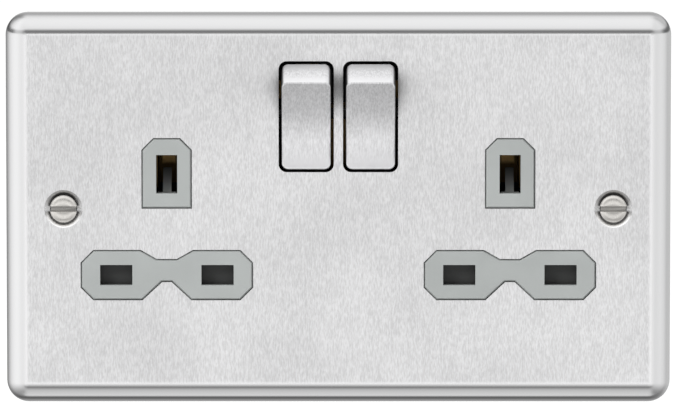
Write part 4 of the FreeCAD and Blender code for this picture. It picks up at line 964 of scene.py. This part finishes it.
# How bright the studio is, in degrees and levels, at each angle in the upright plane through the
# plate's middle: from 0 level in front, through 90 overhead, to 180 behind
STUDIO = (
    (-180, 0.45), (-150, 0.4), (-125, 0.3), (-106, 0.12), (-97, 0.16), (-91, 0.36), (-84, 0.8),
    (-72, 0.76), (-58, 0.7), (-46, 0.6), (-38, 0.42), (-32, 0.22), (-26, 0.22), (-21, 0.6),
    (-15, 1.08), (-2, 1.08), (3, 0.34), (8, 0.12), (14, 0.24), (20, 0.6), (27, 0.92), (46, 1.0),
    (73, 1.02), (97, 0.95), (110, 0.8), (124, 0.52), (142, 0.42), (160, 0.5),
)

# The same in the level plane, from 0 in front to -90 on the left and 90 on the right
SIDE_WALLS = (
    (-180, 0.25), (-150, 0.22), (-132, 0.36), (-100, 0.85), (-75, 1.0), (-55, 1.04), (-35, 0.94),
    (-18, 0.86), (0, 0.82), (15, 0.78), (40, 0.82), (60, 0.87), (85, 0.78), (107, 0.56),
    (130, 0.6), (180, 0.4),
)

# How the side walls change with height, from -90 underfoot to 90 overhead
SIDE_BANDS = (
    (-90, 0.3), (-55, 0.36), (-42, 0.52), (-30, 0.76), (-20, 0.96), (-14, 1.04), (90, 1.04),
)

# The studio's directions are unit vectors. By their share sideways the side walls take over. By their
# share upwards a dark gap opens and closes, and by their share forwards it fades
SIDEWAYS = (0.08, 0.45)
GAP_OPENS, GAP_CLOSES = (0.03, 0.12), (0.24, 0.42)
GAP_FADES = (0.1, 0.6)

# How bright the world is in metal, on other surfaces and to the camera
MIRRORED, SOFT, WHITE = 1.38, 0.62, 1.0


def walls(tree, angle, levels):
    """The brightness at an angle in radians, from a table of degrees and levels."""
    turn = plus(tree, sums(tree, "DIVIDE", angle, 2 * math.pi), 0.5)
    ramp = put(tree, "ShaderNodeValToRGB")
    elements = ramp.color_ramp.elements
    elements.remove(elements[1])
    for number, (degrees, level) in enumerate(levels):
        stop = elements[0] if number == 0 else elements.new((degrees + 180) / 360)
        stop.color = (level, level, level, 1)
    join(tree, (turn, ramp.inputs["Fac"]))
    return ramp.outputs["Color"]


def light_world(scene):
    """A white studio. Metal mirrors its soft boxes and the dark gaps between them."""
    world = bpy.data.worlds.new("Studio")
    scene.world = world
    world.use_nodes = True
    tree = world.node_tree
    tree.nodes.clear()
    spot = put(tree, "ShaderNodeSeparateXYZ")
    join(tree, (put(tree, "ShaderNodeTexCoord").outputs["Generated"], spot.inputs[0]))
    forward = times(tree, spot.outputs["Y"], -1.0)
    upright = walls(tree, sums(tree, "ARCTAN2", spot.outputs["Z"], forward), STUDIO)
    level = walls(tree, sums(tree, "ARCTAN2", spot.outputs["X"], forward), SIDE_WALLS)
    bands = walls(tree, sums(tree, "ARCSINE", spot.outputs["Z"]), SIDE_BANDS)
    opens = spread(tree, spot.outputs["Z"], *GAP_OPENS, 0.0, 0.8)
    closes = spread(tree, spot.outputs["Z"], *GAP_CLOSES, 1.0, 0.0)
    gap = times(tree, times(tree, opens, closes), spread(tree, forward, *GAP_FADES, 1.0, 0.4))
    dim = put(tree, "ShaderNodeVectorMath", operation="MULTIPLY")
    join(tree, (level, dim.inputs[0]), (times(tree, bands, minus(tree, 1.0, gap)), dim.inputs[1]))
    sideways = spread(tree, sums(tree, "ABSOLUTE", spot.outputs["X"]), *SIDEWAYS, 0.0, 1.0)
    studio = put(tree, "ShaderNodeMix", data_type="RGBA")
    join(
        tree,
        (sideways, studio.inputs["Factor"]),
        (upright, studio.inputs[6]),
        (dim.outputs[0], studio.inputs[7]),
    )
    path = put(tree, "ShaderNodeLightPath").outputs
    mirrored = put(tree, "ShaderNodeBackground", Strength=MIRRORED)
    soft = put(tree, "ShaderNodeBackground", Strength=SOFT)
    white = put(tree, "ShaderNodeBackground", Strength=WHITE)
    soft.inputs["Color"].default_value = white.inputs["Color"].default_value = (1, 1, 1, 1)
    inner, outer = put(tree, "ShaderNodeMixShader"), put(tree, "ShaderNodeMixShader")
    output = put(tree, "ShaderNodeOutputWorld")
    join(
        tree,
        (studio.outputs[2], mirrored.inputs["Color"]),
        (path["Is Glossy Ray"], inner.inputs[0]),
        (soft.outputs[0], inner.inputs[1]),
        (mirrored.outputs[0], inner.inputs[2]),
        (path["Is Camera Ray"], outer.inputs[0]),
        (inner.outputs[0], outer.inputs[1]),
        (white.outputs[0], outer.inputs[2]),
        (outer.outputs[0], output.inputs["Surface"]),
    )


def hang_lamp(scene, name, spot, size, power):
    """A square soft lamp that faces the plate."""
    lamp = bpy.data.objects.new(name, bpy.data.lights.new(name, "AREA"))
    scene.collection.objects.link(lamp)
    lamp.location = spot
    lamp.rotation_euler = (-Vector(spot)).to_track_quat("-Z", "Y").to_euler()
    lamp.data.size = size
    lamp.data.energy = power
    lamp.visible_glossy = False


def lay_floor(scene, stage):
    """A wide pale floor below the plate, near white to the camera but with the object's shadow."""
    shape = bmesh.new()
    bmesh.ops.create_grid(shape, x_segments=8, y_segments=8, size=FLOOR_REACH)
    bmesh.ops.translate(shape, verts=shape.verts, vec=(0, 0, PLATE_LOW.z - stage.floor_drop))
    mesh = bpy.data.meshes.new("Floor")
    shape.to_mesh(mesh)
    shape.free()
    floor = bpy.data.objects.new("Floor", mesh)
    scene.collection.objects.link(floor)
    material, tree, shader = new_material("Pale floor", 0.0)
    shader["Roughness"].default_value = 0.9
    speck = use_group(tree, speckle_group(), Scale=60.0)
    join(tree, (tint(tree, speck["Patch"], (0.8, 0.8, 0.8), (0.84, 0.84, 0.84)), shader["Base Color"]))
    path = put(tree, "ShaderNodeLightPath").outputs
    shader["Emission Color"].default_value = (1, 1, 1, 1)
    join(tree, (times(tree, path["Is Camera Ray"], FLOOR_GLOW), shader["Emission Strength"]))
    mesh.materials.append(material)
    floor.visible_glossy = False


class SOCKET_PT_panel(bpy.types.Panel):
    """Lists the socket's pieces and its stage."""

    bl_label = "Twin Wall Socket"
    bl_idname = "SOCKET_PT_panel"
    bl_space_type = "VIEW_3D"
    bl_region_type = "UI"
    bl_category = "Socket"

    def draw(self, context):
        layout = self.layout
        for group in (context.scene.socket_finish, context.scene.socket_stage):
            box = layout.box()
            for name in group.__annotations__:
                box.prop(group, name)
        for operator in OPERATORS:
            layout.operator(operator.bl_idname)


OPERATORS = (
    SOCKET_OT_plate,
    SOCKET_OT_rockers,
    SOCKET_OT_inserts,
    SOCKET_OT_shutters,
    SOCKET_OT_housings,
    SOCKET_OT_conductors,
    SOCKET_OT_contacts,
    SOCKET_OT_fixing_screws,
    SOCKET_OT_springs,
    SOCKET_OT_fasteners,
    SOCKET_OT_stage,
)
CLASSES = (SocketFinish, SocketStage, *OPERATORS, SOCKET_PT_panel)


def register():
    """Adds the classes, and their settings to the scene."""
    for cls in CLASSES:
        bpy.utils.register_class(cls)
    bpy.types.Scene.socket_finish = bpy.props.PointerProperty(type=SocketFinish)
    bpy.types.Scene.socket_stage = bpy.props.PointerProperty(type=SocketStage)


def unregister():
    """Takes the settings and classes away again."""
    del bpy.types.Scene.socket_stage
    del bpy.types.Scene.socket_finish
    for cls in reversed(CLASSES):
        bpy.utils.unregister_class(cls)


def main():
    """Makes and dresses the socket's pieces and sets the stage."""
    register()
    for operator in OPERATORS:
        group, name = operator.bl_idname.split(".")
        getattr(getattr(bpy.ops, group), name)()


if __name__ == "__main__":
    main()
